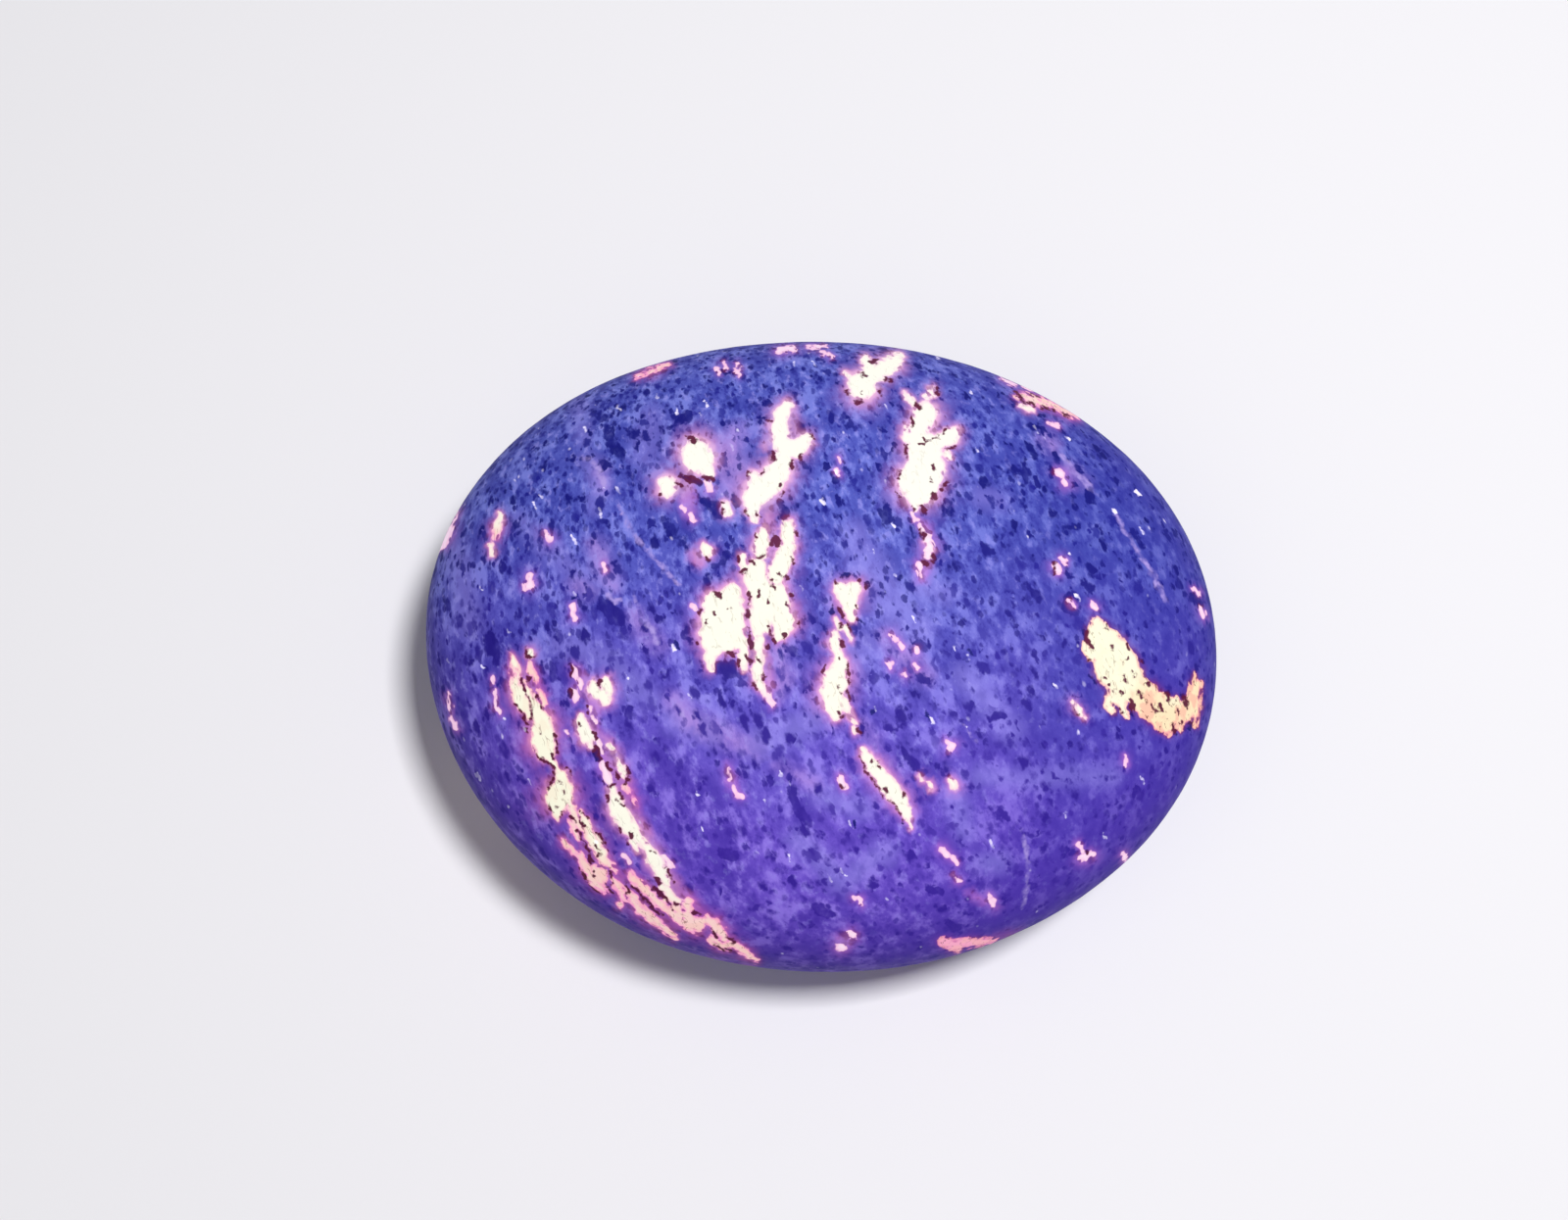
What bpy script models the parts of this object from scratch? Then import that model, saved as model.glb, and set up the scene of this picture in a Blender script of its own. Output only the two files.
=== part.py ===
"""Palm-sized oval stone of sodalite-bearing syenite: one natural piece, worn smooth all round.

Above its rim the stone is a low dome, and below it a shallower one. Its plan is an oval with
a slightly three-cornered outline, as a stone gets from tumbling, and it lies on a small flat
spot under its middle. Units are metres and +Z is up. +X runs along the stone's long axis, and
the origin is under the middle of the stone, on the surface that the stone lies on.
"""

import math

import bmesh
import bpy
from mathutils import Vector, noise

# Size of the oval that the outline is built on, and of the two domes
LENGTH = 0.0600
WIDTH = 0.0486
DOME_HEIGHT = 0.0122
KEEL_DEPTH = 0.0102

# How full the domes are between the rim and the poles: 2 is an ellipsoid, and more is boxier
FULLNESS = 2.2

# The outline's departures from the oval: how many lobes, how far they reach as a share of the
# oval's radius, and the direction of the first lobe in degrees from +X towards +Y
OUTLINE_LOBES = (
    (3, 0.0100, 33.0),
    (4, 0.0035, 58.0),
)

# The dome's summit stands a little off the middle, towards +Y and -X
SUMMIT_DRIFT = Vector((-0.0009, 0.0007, 0.0))

# Broad hollows and swells that a thumb can feel
SWELL_HEIGHT = 0.00022
SWELL_SPACING = 0.0170
SWELL_ORIGIN = Vector((3.7, 1.9, 5.3))

# The worn spot that the stone lies on: how much of the lower dome is gone, and the height over
# which the dome runs into the flat
REST_WEAR = 0.00050
REST_BLEND = 0.00020

# 5120 near-equal triangles, each about 1.5 mm on a side
SPHERE_SUBDIVISIONS = 5

STONE_BLUE = (0.105, 0.105, 0.50, 1.0)
STONE_ROUGHNESS = 0.45


def clear_scene():
    for old in list(bpy.data.objects):
        bpy.data.objects.remove(old)


def outline_share(direction):
    """The outline's radius in this direction, as a share of the plain oval's."""
    angle = math.atan2(direction.y, direction.x)
    share = 1.0
    for lobes, reach, first in OUTLINE_LOBES:
        share += reach * math.cos(lobes * (angle - math.radians(first)))
    return share


def domed(direction):
    """The point of the smooth stone that lies in this direction from the middle of its rim."""
    across = math.hypot(direction.x, direction.y)
    up = abs(direction.z)
    fullness = (across**FULLNESS + up**FULLNESS) ** (-1.0 / FULLNESS)
    reach = fullness * outline_share(direction)
    pole = DOME_HEIGHT if direction.z > 0.0 else KEEL_DEPTH
    point = Vector((
        reach * direction.x * LENGTH / 2,
        reach * direction.y * WIDTH / 2,
        fullness * direction.z * pole,
    ))
    return point + SUMMIT_DRIFT * max(direction.z, 0.0) ** 2


def swollen(point, normal):
    """The point moved along its normal by the stone's broad hollows and swells."""
    swell = noise.noise(point / SWELL_SPACING + SWELL_ORIGIN)
    return point + normal * (swell * SWELL_HEIGHT)


def worn_flat(height):
    """A height above the lowest point, once the rest spot is worn level with zero."""
    above = height - REST_WEAR
    if above <= -REST_BLEND:
        return 0.0
    if above >= REST_BLEND:
        return above
    return (above + REST_BLEND) ** 2 / (4 * REST_BLEND)


def middle(values):
    values = list(values)
    return (min(values) + max(values)) / 2


def set_on_surface(mesh):
    """Wears the rest spot and puts the middle of the stone's plan over the origin."""
    middle_x = middle(v.co.x for v in mesh.verts)
    middle_y = middle(v.co.y for v in mesh.verts)
    lowest = min(v.co.z for v in mesh.verts)
    for vert in mesh.verts:
        x, y, z = vert.co
        vert.co = (x - middle_x, y - middle_y, worn_flat(z - lowest))


def stone_material():
    material = bpy.data.materials.new("sodalite_syenite")
    material.use_nodes = True
    shader = material.node_tree.nodes["Principled BSDF"]
    shader.inputs["Base Color"].default_value = STONE_BLUE
    shader.inputs["Roughness"].default_value = STONE_ROUGHNESS
    shader.inputs["Metallic"].default_value = 0.0
    return material


def make_stone():
    shape = bmesh.new()
    bmesh.ops.create_icosphere(shape, subdivisions=SPHERE_SUBDIVISIONS, radius=1.0)
    for vert in shape.verts:
        vert.co = domed(vert.co.normalized())
    shape.normal_update()
    swells = [swollen(vert.co, vert.normal) for vert in shape.verts]
    for vert, place in zip(shape.verts, swells):
        vert.co = place
    set_on_surface(shape)
    mesh = bpy.data.meshes.new("stone")
    shape.to_mesh(mesh)
    shape.free()
    mesh.shade_smooth()
    mesh.materials.append(stone_material())
    stone = bpy.data.objects.new("stone", mesh)
    bpy.context.scene.collection.objects.link(stone)
    return stone


clear_scene()
make_stone()
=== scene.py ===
# %% [markdown]
# # A glowing sodalite palm stone
#
# The object is one natural stone, tumbled to a smooth oval that closes in a palm. It is a syenite:
# a mosaic of small mineral grains, here blue-violet with dark specks, crossed by patches of
# sodalite that glow cream and orange. Nothing on it is glued, cut or carved, so the lesson is
# about one closed surface and one careful material.
#
# The imported model gives the frame: the stone's size, its place on the floor and its one body. It
# is loaded first, and its box is kept and printed again at the end.

# %% Load the imported stone
import math

import bmesh
import bpy
import numpy as np
from mathutils import Matrix, Vector, noise
from mathutils.bvhtree import BVHTree


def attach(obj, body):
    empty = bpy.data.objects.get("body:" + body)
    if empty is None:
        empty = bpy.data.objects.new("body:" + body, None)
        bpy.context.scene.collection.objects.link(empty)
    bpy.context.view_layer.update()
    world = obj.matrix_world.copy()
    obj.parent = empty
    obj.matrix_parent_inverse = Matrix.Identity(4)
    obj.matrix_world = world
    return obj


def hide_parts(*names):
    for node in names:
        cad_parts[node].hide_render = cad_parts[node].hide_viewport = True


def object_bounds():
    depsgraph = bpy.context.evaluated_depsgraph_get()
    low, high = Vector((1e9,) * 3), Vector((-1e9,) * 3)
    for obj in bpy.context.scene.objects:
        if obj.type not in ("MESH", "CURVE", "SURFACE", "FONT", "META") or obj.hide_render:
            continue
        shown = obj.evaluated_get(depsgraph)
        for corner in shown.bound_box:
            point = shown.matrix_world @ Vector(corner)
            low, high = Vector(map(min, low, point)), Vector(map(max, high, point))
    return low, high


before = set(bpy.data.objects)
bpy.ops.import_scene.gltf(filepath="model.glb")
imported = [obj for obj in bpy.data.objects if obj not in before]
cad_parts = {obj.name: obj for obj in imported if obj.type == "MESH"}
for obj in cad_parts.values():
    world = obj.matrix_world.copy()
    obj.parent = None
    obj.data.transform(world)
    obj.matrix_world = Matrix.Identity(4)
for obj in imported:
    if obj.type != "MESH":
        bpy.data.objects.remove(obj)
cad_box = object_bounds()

MM = 0.001
print("stone, lowest and highest corner in mm:", [[round(c / MM, 2) for c in corner] for corner in cad_box])

# %% [markdown]
# ## The camera
#
# The stone is seen almost from straight above, lying a few degrees turned in the picture. The
# camera could be aimed by hand in the viewport, but here its three axes are written down from two
# angles, so that the same numbers can also tell where any point of the stone lands in the
# picture. That second use is what places the markings later on.

# %% Aim the camera
PICTURE_WIDTH = 1600
PICTURE_HEIGHT = 1245
LENS = 50.0
SENSOR = 36.0
CAMERA_ELEVATION = math.radians(75.0)
CAMERA_TURN = math.radians(3.22)
CAMERA_DISTANCE = 165.9 * MM
RIM_HEIGHT = 9.0 * MM
CAMERA_SLIDE_RIGHT = -2.74 * MM
CAMERA_SLIDE_UP = 3.16 * MM


def camera_axes():
    """The camera's right, up and back directions."""
    right = Vector((math.cos(CAMERA_TURN), math.sin(CAMERA_TURN), 0.0))
    level = math.cos(CAMERA_ELEVATION)
    back = Vector((math.sin(CAMERA_TURN) * level, -math.cos(CAMERA_TURN) * level, math.sin(CAMERA_ELEVATION)))
    return right, back.cross(right), back


def make_camera():
    right, up, back = camera_axes()
    data = bpy.data.cameras.new("camera")
    data.lens = LENS
    data.sensor_width = SENSOR
    data.clip_start = 1.0 * MM
    camera = bpy.data.objects.new("camera", data)
    matrix = Matrix((right, up, back)).transposed().to_4x4()
    target = Vector((0.0, 0.0, RIM_HEIGHT))
    matrix.translation = target + CAMERA_DISTANCE * back + CAMERA_SLIDE_RIGHT * right + CAMERA_SLIDE_UP * up
    camera.matrix_world = matrix
    bpy.context.scene.collection.objects.link(camera)
    bpy.context.scene.camera = camera
    return matrix


camera_matrix = make_camera()
EYE = camera_matrix.translation.copy()
print("camera stands", round(EYE.length / MM), "mm from the stone's foot")

# %% Find a point's pixel
FOCAL_PIXELS = LENS / SENSOR * PICTURE_WIDTH


def picture_places(points):
    """Where points, one per row in metres, land in the picture, in pixels right and down."""
    seen = (points - np.array(EYE)) @ np.array(camera_matrix.to_3x3())
    right = PICTURE_WIDTH / 2 - FOCAL_PIXELS * seen[:, 0] / seen[:, 2]
    down = PICTURE_HEIGHT / 2 + FOCAL_PIXELS * seen[:, 1] / seen[:, 2]
    return np.stack((right, down), axis=1)


PIXELS_PER_MM = FOCAL_PIXELS * MM / CAMERA_DISTANCE
ends = np.array([(cad_box[0].x, 0.0, RIM_HEIGHT), (cad_box[1].x, 0.0, RIM_HEIGHT)])
print("the long axis ends at pixels", picture_places(ends).round(), "at", round(PIXELS_PER_MM, 2), "px/mm")

# %% [markdown]
# ## The stone's surface
#
# A tumbled stone has no edge anywhere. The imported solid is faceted, with triangles 1.5 mm across,
# so a copy of it is merged and refined. A Subdivision Surface modifier would do this too, but it
# turns triangles into quads, and the mesh is to be refined again below, only where markings need
# it. Subdividing edges in bmesh with smooth at 1 puts each new point on the arc between its
# neighbours' normals, which keeps the triangles and rounds the facets away.

# %% Copy and round the solid
MERGE_DISTANCE = 0.001 * MM
ROUNDING_PASSES = 2
SETTLING_PASSES = 2


def rounded_copy(node):
    """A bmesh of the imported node, merged, with its facets rounded away."""
    surface = bmesh.new()
    surface.from_mesh(node.data)
    bmesh.ops.remove_doubles(surface, verts=surface.verts, dist=MERGE_DISTANCE)
    for _ in range(ROUNDING_PASSES):
        surface.normal_update()
        bmesh.ops.subdivide_edges(surface, edges=surface.edges, cuts=1, smooth=1.0, use_grid_fill=True)
    for _ in range(SETTLING_PASSES):
        bmesh.ops.smooth_vert(
            surface, verts=surface.verts, factor=0.5, use_axis_x=True, use_axis_y=True, use_axis_z=True
        )
    surface.normal_update()
    return surface


surface = rounded_copy(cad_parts["stone"])
print("rounded stone:", len(surface.verts), "points,", len(surface.faces), "triangles")

# %% [markdown]
# ## Where the markings are
#
# On the real stone the glowing patches, the dark grains and the pale threads are simply the
# minerals that the surface cuts through. They can be painted, but a painted image can't be
# refined, and a noise texture alone never puts a patch in its right place. So each marking is
# described the way a sketcher would do it: a chain of circles, given as pixel right, pixel
# down and half-width, all in pixels of the 1600 by 1245 picture. The depth of a point inside the
# nearest chain is then stored on the mesh, and the material draws the marking from that depth,
# with crisp edges that its own noise breaks up.

# %% Cream patches, upper half
CREAM_UPPER = {
    "round patch": (
        ((711, 463, 15), (713, 467, 15.5)),
        ((716, 474, 9), (722, 480, 6), (724, 484, 4)),
    ),
    "round patch, neighbour": (((681, 495, 9.5), (681, 498, 9)),),
    "small oval": (((740, 515, 3.5), (743, 523, 4)),),
    "forked patch, stem": (((804, 413, 5), (797, 424, 7.5), (795, 436, 8), (796, 448, 8), (800, 458, 8)),),
    "forked patch, arm": (((803, 458, 9), (814, 457, 8), (822, 449, 6.5)),),
    "forked patch, body": (
        ((800, 466, 8.5), (796, 480, 11), (788, 490, 13), (776, 499, 14), (769, 509, 10.5), (767, 518, 6)),
        ((767, 518, 6), (770, 531, 2.5)),
    ),
    "forked patch, shoulder": (((768, 484, 4), (773, 491, 6)),),
    "top patch": (
        ((872, 388, 6), (880, 395, 13)),
        ((880, 388, 9), (893, 380, 9), (903, 376, 9), (912, 370, 8), (917, 364, 5)),
        ((883, 366, 4), (887, 376, 7)),
    ),
    "top patch, crumb": (((863, 379, 2.5), (866, 383, 2.5)),),
    "spruce, crown": (((944, 413, 4), (944, 424, 12), (938, 437, 9)),),
    "spruce, left bough": (((926, 437, 4.5), (926, 445, 5.5)),),
    "spruce, right bough": (((952, 453, 9), (962, 449, 8), (970, 446, 8), (975, 440, 5)),),
    "spruce, trunk": (
        ((934, 446, 8), (944, 458, 17), (944, 468, 17), (943, 480, 19), (938, 492, 21), (937, 501, 15)),
        ((937, 501, 15), (936, 510, 6), (935, 519, 2)),
    ),
    "spruce, twigs": (((965, 462, 3.5), (969, 467, 2)), ((961, 475, 4), (963, 480, 3))),
    "spruce, tips": (
        ((923, 401, 2), (929, 408, 2.5), (932, 412, 3)),
        ((951, 397, 3.5), (952, 402, 3.5)),
        ((944, 404, 2), (947, 408, 2)),
    ),
    "spruce, root": (((944, 552, 2), (951, 562, 3)),),
    "upper right rim, strand": (((1042, 413, 2), (1050, 417, 3), (1055, 418, 2)),),
}
print(len(CREAM_UPPER), "cream patches in the upper half")

# %% Cream patches, middle and lower half
CREAM_MIDDLE = {
    "centre, left lobe": (((780, 538, 2.5), (779, 546, 6), (776, 557, 8), (777, 565, 6)),),
    "centre, right column": (
        ((804, 534, 5), (804, 545, 6.5), (804, 556, 7.5), (801, 566, 8), (797, 577, 9), (792, 588, 9)),
    ),
    "centre, chip": (((757, 567, 3), (759, 574, 4), (761, 581, 4)),),
    "centre, neck": (((773, 577, 8), (770, 589, 12), (774, 600, 12)),),
    "centre, big lobe": (
        ((726, 612, 8), (727, 630, 12), (728, 648, 13), (727, 660, 9), (724, 675, 4.5), (725, 683, 2.5)),
        ((748, 603, 8), (744, 615, 14), (742, 634, 18), (742, 650, 15), (756, 655, 7), (760, 666, 5)),
    ),
    "centre, inner tail": (((757, 668, 4), (758, 676, 4), (761, 685, 2)),),
    "centre, right lobe": (
        ((778, 605, 13), (780, 620, 13), (776, 635, 11), (774, 645, 6)),
        ((792, 605, 10), (796, 622, 11), (800, 634, 11), (796, 645, 8), (793, 651, 4)),
    ),
    "centre, long tail": (
        ((775, 652, 5), (775, 665, 5), (774, 680, 5), (773, 692, 5), (776, 701, 4), (783, 709, 2.5)),
    ),
    "left pair": (((717, 557, 3), (722, 563, 5)),),
    "heart": (
        ((858, 601, 6.5), (865, 609, 10), (873, 601, 7)),
        ((866, 611, 9), (866, 621, 6), (869, 633, 3)),
    ),
    "heart, strand": (((862, 641, 2.5), (868, 652, 2.5)), ((853, 632, 2), (858, 640, 2))),
    "middle streak": (
        ((852, 647, 3.5), (852, 656, 6.5), (856, 668, 4.5), (857, 680, 8), (853, 692, 12), (850, 706, 12)),
        ((850, 706, 12), (850, 718, 9), (852, 730, 5)),
    ),
    "middle streak, fork": (((861, 716, 4), (866, 728, 3.5), (873, 738, 2)), ((872, 744, 2), (874, 748, 2))),
    "lower streak": (
        ((880, 764, 2), (884, 772, 5), (890, 781, 7), (897, 790, 7.5), (905, 800, 8), (912, 809, 8)),
        ((912, 809, 8), (920, 818, 6.5), (925, 829, 5), (928, 839, 2.5), (929, 846, 1)),
    ),
    "inner strand, ring": (
        ((605, 697, 4.5), (606, 705, 6.5), (613, 708, 7.5), (618, 714, 5)),
        ((618, 695, 4.5), (620, 706, 5.5)),
    ),
    "inner strand, drop": (((592, 730, 3), (594, 738, 5.5), (597, 746, 8), (600, 754, 7), (603, 761, 3.5)),),
    "inner strand, beads": (
        ((621, 761, 2.8), (626, 766, 3)),
        ((629, 775, 2.5), (633, 782, 4), (636, 790, 3.8), (637, 794, 2)),
    ),
    "inner strand, trunk": (
        ((624, 805, 4), (626, 814, 6), (630, 824, 9), (635, 833, 9.5), (641, 842, 8), (648, 850, 6)),
        ((648, 850, 6), (655, 858, 4.5)),
        ((646, 858, 4), (649, 864, 3.8), (651, 868, 2.5)),
    ),
    "inner strand, lower": (
        ((659, 863, 3.5), (664, 870, 6), (669, 879, 7.5), (674, 888, 6.5), (679, 897, 4.2), (681, 903, 3)),
    ),
    "inner strand, threads": (((676, 905, 2.8), (682, 911, 3.8), (688, 917, 3.8), (692, 919, 2.5)),),
    "pale grain, left": (((541, 665, 3.5), (541, 669, 3.5)),),
    "crumbs, left": (((500, 557, 2.5), (503, 566, 2.5)), ((510, 523, 1.8), (511, 529, 3), (507, 537, 4.5))),
    "crumbs, right of the lower streak": (
        ((938, 792, 2), (941, 797, 2)),
        ((949, 800, 2), (951, 805, 2.5)),
        ((970, 796, 3), (974, 803, 4)),
    ),
    "crumb, far right": (((1095, 717, 2.5), (1100, 724, 3), (1106, 732, 1.8)),),
}
print(len(CREAM_MIDDLE), "cream patches in the middle and lower half")

# %% Patches of the right side
RIGHT_STRAW = {
    "head": (
        ((1118, 634, 5), (1120, 645, 11), (1127, 656, 16), (1134, 668, 20), (1139, 680, 22.5)),
        ((1139, 680, 22.5), (1147, 692, 20), (1156, 703, 15)),
    ),
    "chin": (((1106, 655, 1.5), (1108, 662, 4), (1113, 670, 5)),),
    "left lobe": (
        ((1139, 704, 7), (1134, 713, 6), (1129, 720, 4), (1137, 727, 2.8)),
        ((1141, 710, 7), (1146, 722, 4.5), (1149, 731, 2.8)),
    ),
    "bright middle": (((1190, 718, 7), (1200, 717, 6)),),
}
RIGHT_PEACH = {
    "waist": (((1160, 706, 15), (1170, 714, 16), (1182, 724, 16), (1190, 736, 12), (1191, 745, 6)),),
    "foot": (((1190, 724, 13), (1203, 728, 12), (1214, 722, 11)),),
    "toe": (((1214, 722, 11), (1219, 710, 7), (1221, 700, 6), (1219, 690, 3)),),
    "fingers": (((1204, 738, 5), (1204, 744, 4)), ((1220, 730, 4), (1220, 740, 2.5))),
}
SALMON = {
    "bottom rim": (
        ((961, 961, 4.5), (970, 963, 6), (977, 965, 6), (985, 961, 4.5), (998, 961, 4.5), (1018, 959, 2)),
    ),
}
print(len(RIGHT_STRAW), "straw and", len(RIGHT_PEACH), "peach patches at the right,", len(SALMON), "on the rim")

# %% Streaks of the lower left
STREAK_STRAW = {
    "outer streak, left strand": (
        ((522, 667, 1.5), (525, 676, 3.5), (527, 686, 5), (526, 699, 5.5), (529, 710, 7.5), (535, 721, 6.5)),
        ((535, 721, 6.5), (540, 731, 4)),
    ),
    "outer streak, middle strand": (
        ((537, 695, 1.8), (540, 706, 3.5), (544, 716, 4.5), (548, 725, 6.5), (553, 735, 10), (554, 747, 12)),
        ((554, 747, 12), (554, 757, 12), (556, 765, 10), (561, 773, 5), (567, 782, 2.5), (570, 787, 3)),
    ),
    "outer streak, second": (
        ((573, 789, 5), (574, 797, 8), (571, 806, 12), (570, 814, 13.5), (572, 820, 10)),
        ((568, 824, 6), (568, 831, 4), (569, 836, 2)),
        ((580, 805, 4.5), (581, 821, 3.5)),
    ),
    "outer streak, third": (
        ((592, 829, 2.5), (596, 836, 3.5), (600, 845, 5), (604, 854, 6), (609, 863, 6), (613, 872, 6), (616, 879, 5)),
    ),
}
STREAK_PEACH = {
    "outer streak, peach edge": (((522, 688, 2.5), (522, 697, 2.5)),),
    "outer streak, right strand": (
        ((540, 678, 2.5), (545, 688, 3.5), (548, 696, 2.5)),
        ((550, 703, 2.5), (553, 711, 3.2), (556, 719, 3)),
    ),
    "outer streak, twigs": (
        ((584, 824, 3.5), (586, 834, 3.5), (590, 842, 3.5), (593, 847, 2.5)),
        ((583, 837, 2.5), (586, 846, 3), (590, 856, 2)),
        ((574, 856, 2.5), (579, 863, 3.2), (585, 870, 3)),
    ),
    "outer streak, belly": (
        ((592, 872, 3.5), (596, 880, 4.5), (600, 889, 5), (606, 898, 4.5), (612, 906, 3.5), (619, 910, 2.5)),
        ((616, 879, 5), (622, 883, 3.5), (627, 889, 3)),
        ((607, 884, 3), (606, 890, 3)),
    ),
    "outer streak, tail": (
        ((626, 898, 3), (631, 904, 4.5), (636, 911, 4.5), (637, 918, 3.5), (633, 924, 3)),
        ((641, 912, 3.5), (648, 919, 5), (655, 928, 5.5), (664, 936, 4.5), (674, 943, 4), (683, 951, 3)),
        ((683, 951, 3), (690, 957, 1.8)),
    ),
    "inner strand, brink": (
        ((643, 890, 2.5), (647, 898, 4.2), (654, 903, 4.8), (661, 909, 5), (667, 917, 4.2), (674, 923, 4.2)),
        ((674, 923, 4.2), (679, 917, 2.5)),
        ((674, 924, 4), (682, 929, 3.5), (688, 934, 4.5), (697, 942, 3.5), (705, 948, 3), (713, 951, 2.5)),
        ((690, 928, 5.5), (694, 932, 5)),
        ((722, 937, 4), (729, 943, 5.5), (735, 950, 5), (739, 958, 4.5)),
    ),
    "inner strand, end": (
        ((726, 958, 3), (734, 964, 4), (743, 965, 4.5), (751, 965, 3.5), (758, 970, 3.5), (765, 975, 3)),
        ((765, 975, 3), (774, 980, 1.5)),
    ),
    "inner strand, right": (((637, 803, 2.8), (642, 808, 3)), ((647, 817, 3), (649, 822, 2.5))),
    "outer streak, blob": (((611, 889, 5.5), (613, 895, 7)),),
    "inner strand, foot": (((702, 919, 4.5), (702, 930, 4.5), (704, 941, 6), (712, 944, 7.5), (718, 941, 5)),),
    "crumbs, left": (((507, 540, 4), (505, 547, 3.5)),),
    "upper right rim": (
        ((1037, 404, 2), (1045, 404, 3.5), (1055, 408, 5), (1065, 409, 4)),
        ((1065, 410, 4), (1075, 412, 4), (1085, 417, 4.5), (1093, 421, 4), (1102, 425, 2)),
    ),
    "top left rim": (((650, 384, 2), (657, 381, 2.5)), ((663, 379, 3.5), (670, 376, 3.5), (683, 371, 2))),
}
print(len(STREAK_STRAW), "straw strands and", len(STREAK_PEACH), "peach strands at the lower left")

# %% Rose strands and glints
ROSE = {
    "inner strand, head": (
        ((587, 683, 3.5), (590, 690, 4.2), (592, 698, 3.5), (593, 704, 1.8)),
        ((586, 704, 2.5), (588, 711, 3), (587, 715, 2)),
        ((603, 722, 2.3), (605, 730, 2), (607, 740, 1.5)),
        ((611, 756, 2), (615, 766, 1.8)),
        ((615, 781, 3), (618, 788, 3.8), (621, 796, 3.5)),
        ((637, 873, 1.8), (641, 880, 2)),
        ((678, 874, 2.5), (684, 883, 3)),
        ((577, 745, 1.5), (579, 749, 1.5)),
    ),
    "round patch, crumbs": (
        ((722, 493, 3), (725, 500, 3.5)),
        ((696, 517, 2), (699, 522, 2)),
        ((705, 525, 2), (708, 531, 2.5)),
    ),
    "centre, tail's end": (((783, 709, 2), (789, 721, 2)), ((708, 618, 2), (710, 622, 2))),
    "spruce, tail": (
        ((931, 524, 1.8), (934, 531, 2)),
        ((938, 536, 2), (946, 546, 3), (949, 557, 5), (946, 568, 4)),
        ((938, 576, 3), (940, 588, 3)),
    ),
    "left, crumbs": (
        ((541, 588, 3), (541, 597, 4)),
        ((535, 597, 2), (536, 600, 2)),
        ((556, 543, 2.5), (561, 550, 3.5)),
        ((584, 619, 2), (586, 632, 2.5)),
        ((616, 577, 2), (618, 582, 2)),
    ),
    "left rim": (((468, 517, 2), (463, 528, 3), (459, 540, 3.5), (456, 550, 3), (454, 557, 2)),),
    "lower left, hooks": (
        ((457, 709, 2), (459, 718, 1.5), (460, 731, 1), (464, 738, 2), (467, 744, 2)),
        ((502, 692, 1.2), (503, 697, 1.5)),
        ((504, 706, 2), (506, 715, 2.2), (505, 722, 2.6), (510, 726, 2.5)),
    ),
    "top rim": (((796, 357, 3.5), (805, 355, 3.8), (811, 355, 3.2)), ((826, 353, 2.2), (843, 352, 2))),
    "top, crumbs": (
        ((731, 375, 1.5), (734, 380, 1.5)),
        ((738, 370, 1.6), (741, 375, 1.6)),
        ((752, 371, 1.8), (756, 376, 1.8)),
        ((751, 378, 1.6), (754, 382, 1.6)),
        ((837, 358, 1.5), (841, 361, 1.5)),
        ((846, 361, 1.3), (849, 365, 1.5)),
        ((855, 466, 1.6), (858, 471, 1.6)),
        ((853, 479, 1.8), (856, 484, 1.8)),
    ),
    "upper right rim, far": (((1024, 385, 2), (1030, 388, 2.5), (1037, 391, 2)), ((1046, 392, 1.5), (1056, 396, 1.5))),
    "right, crumbs": (
        ((1078, 480, 2.5), (1084, 484, 3)),
        ((1086, 491, 2.5), (1088, 494, 3)),
        ((1076, 578, 3), (1080, 583, 3)),
        ((1083, 569, 2), (1087, 574, 2)),
        ((1091, 614, 2), (1096, 619, 2)),
        ((1114, 616, 1.8), (1119, 622, 2)),
        ((1226, 621, 2), (1229, 628, 2.2)),
        ((1219, 601, 1.8), (1224, 606, 1.8)),
        ((1070, 431, 1.5), (1080, 435, 2)),
    ),
    "heart's right, crumbs": (
        ((910, 648, 2.5), (915, 653, 2)),
        ((918, 657, 1.5), (921, 661, 1.5)),
        ((935, 662, 2.5), (936, 666, 2)),
        ((908, 677, 2.5), (909, 682, 2)),
        ((922, 686, 1.8), (924, 691, 1.8)),
        ((934, 678, 1.5), (936, 682, 2)),
        ((966, 757, 2.5), (972, 761, 3), (968, 767, 2)),
    ),
    "lower middle, crumbs": (
        ((743, 783, 2.5), (746, 794, 3)),
        ((748, 803, 1.8), (751, 809, 2)),
        ((754, 811, 2.2), (756, 814, 2)),
        ((857, 792, 2), (860, 798, 3), (863, 805, 2)),
        ((870, 915, 1.5), (872, 918, 1.5)),
        ((876, 917, 2.2), (878, 922, 2.2)),
        ((867, 953, 3.8), (870, 955, 3.8)),
        ((857, 966, 3.8), (860, 966, 3.8)),
    ),
    "lower right, crumbs": (
        ((962, 866, 2.5), (967, 872, 2.5)),
        ((971, 874, 2), (976, 880, 2)),
        ((974, 892, 2), (978, 899, 2)),
        ((1009, 914, 2), (1014, 924, 2.5)),
        ((1100, 861, 2), (1104, 868, 2.5)),
        ((1103, 875, 3.5), (1107, 875, 3.5)),
        ((1113, 871, 2.5), (1117, 874, 2.5)),
        ((1147, 872, 2.5), (1149, 876, 2.5)),
        ((1148, 772, 1.5), (1149, 781, 1.5)),
    ),
}
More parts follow.
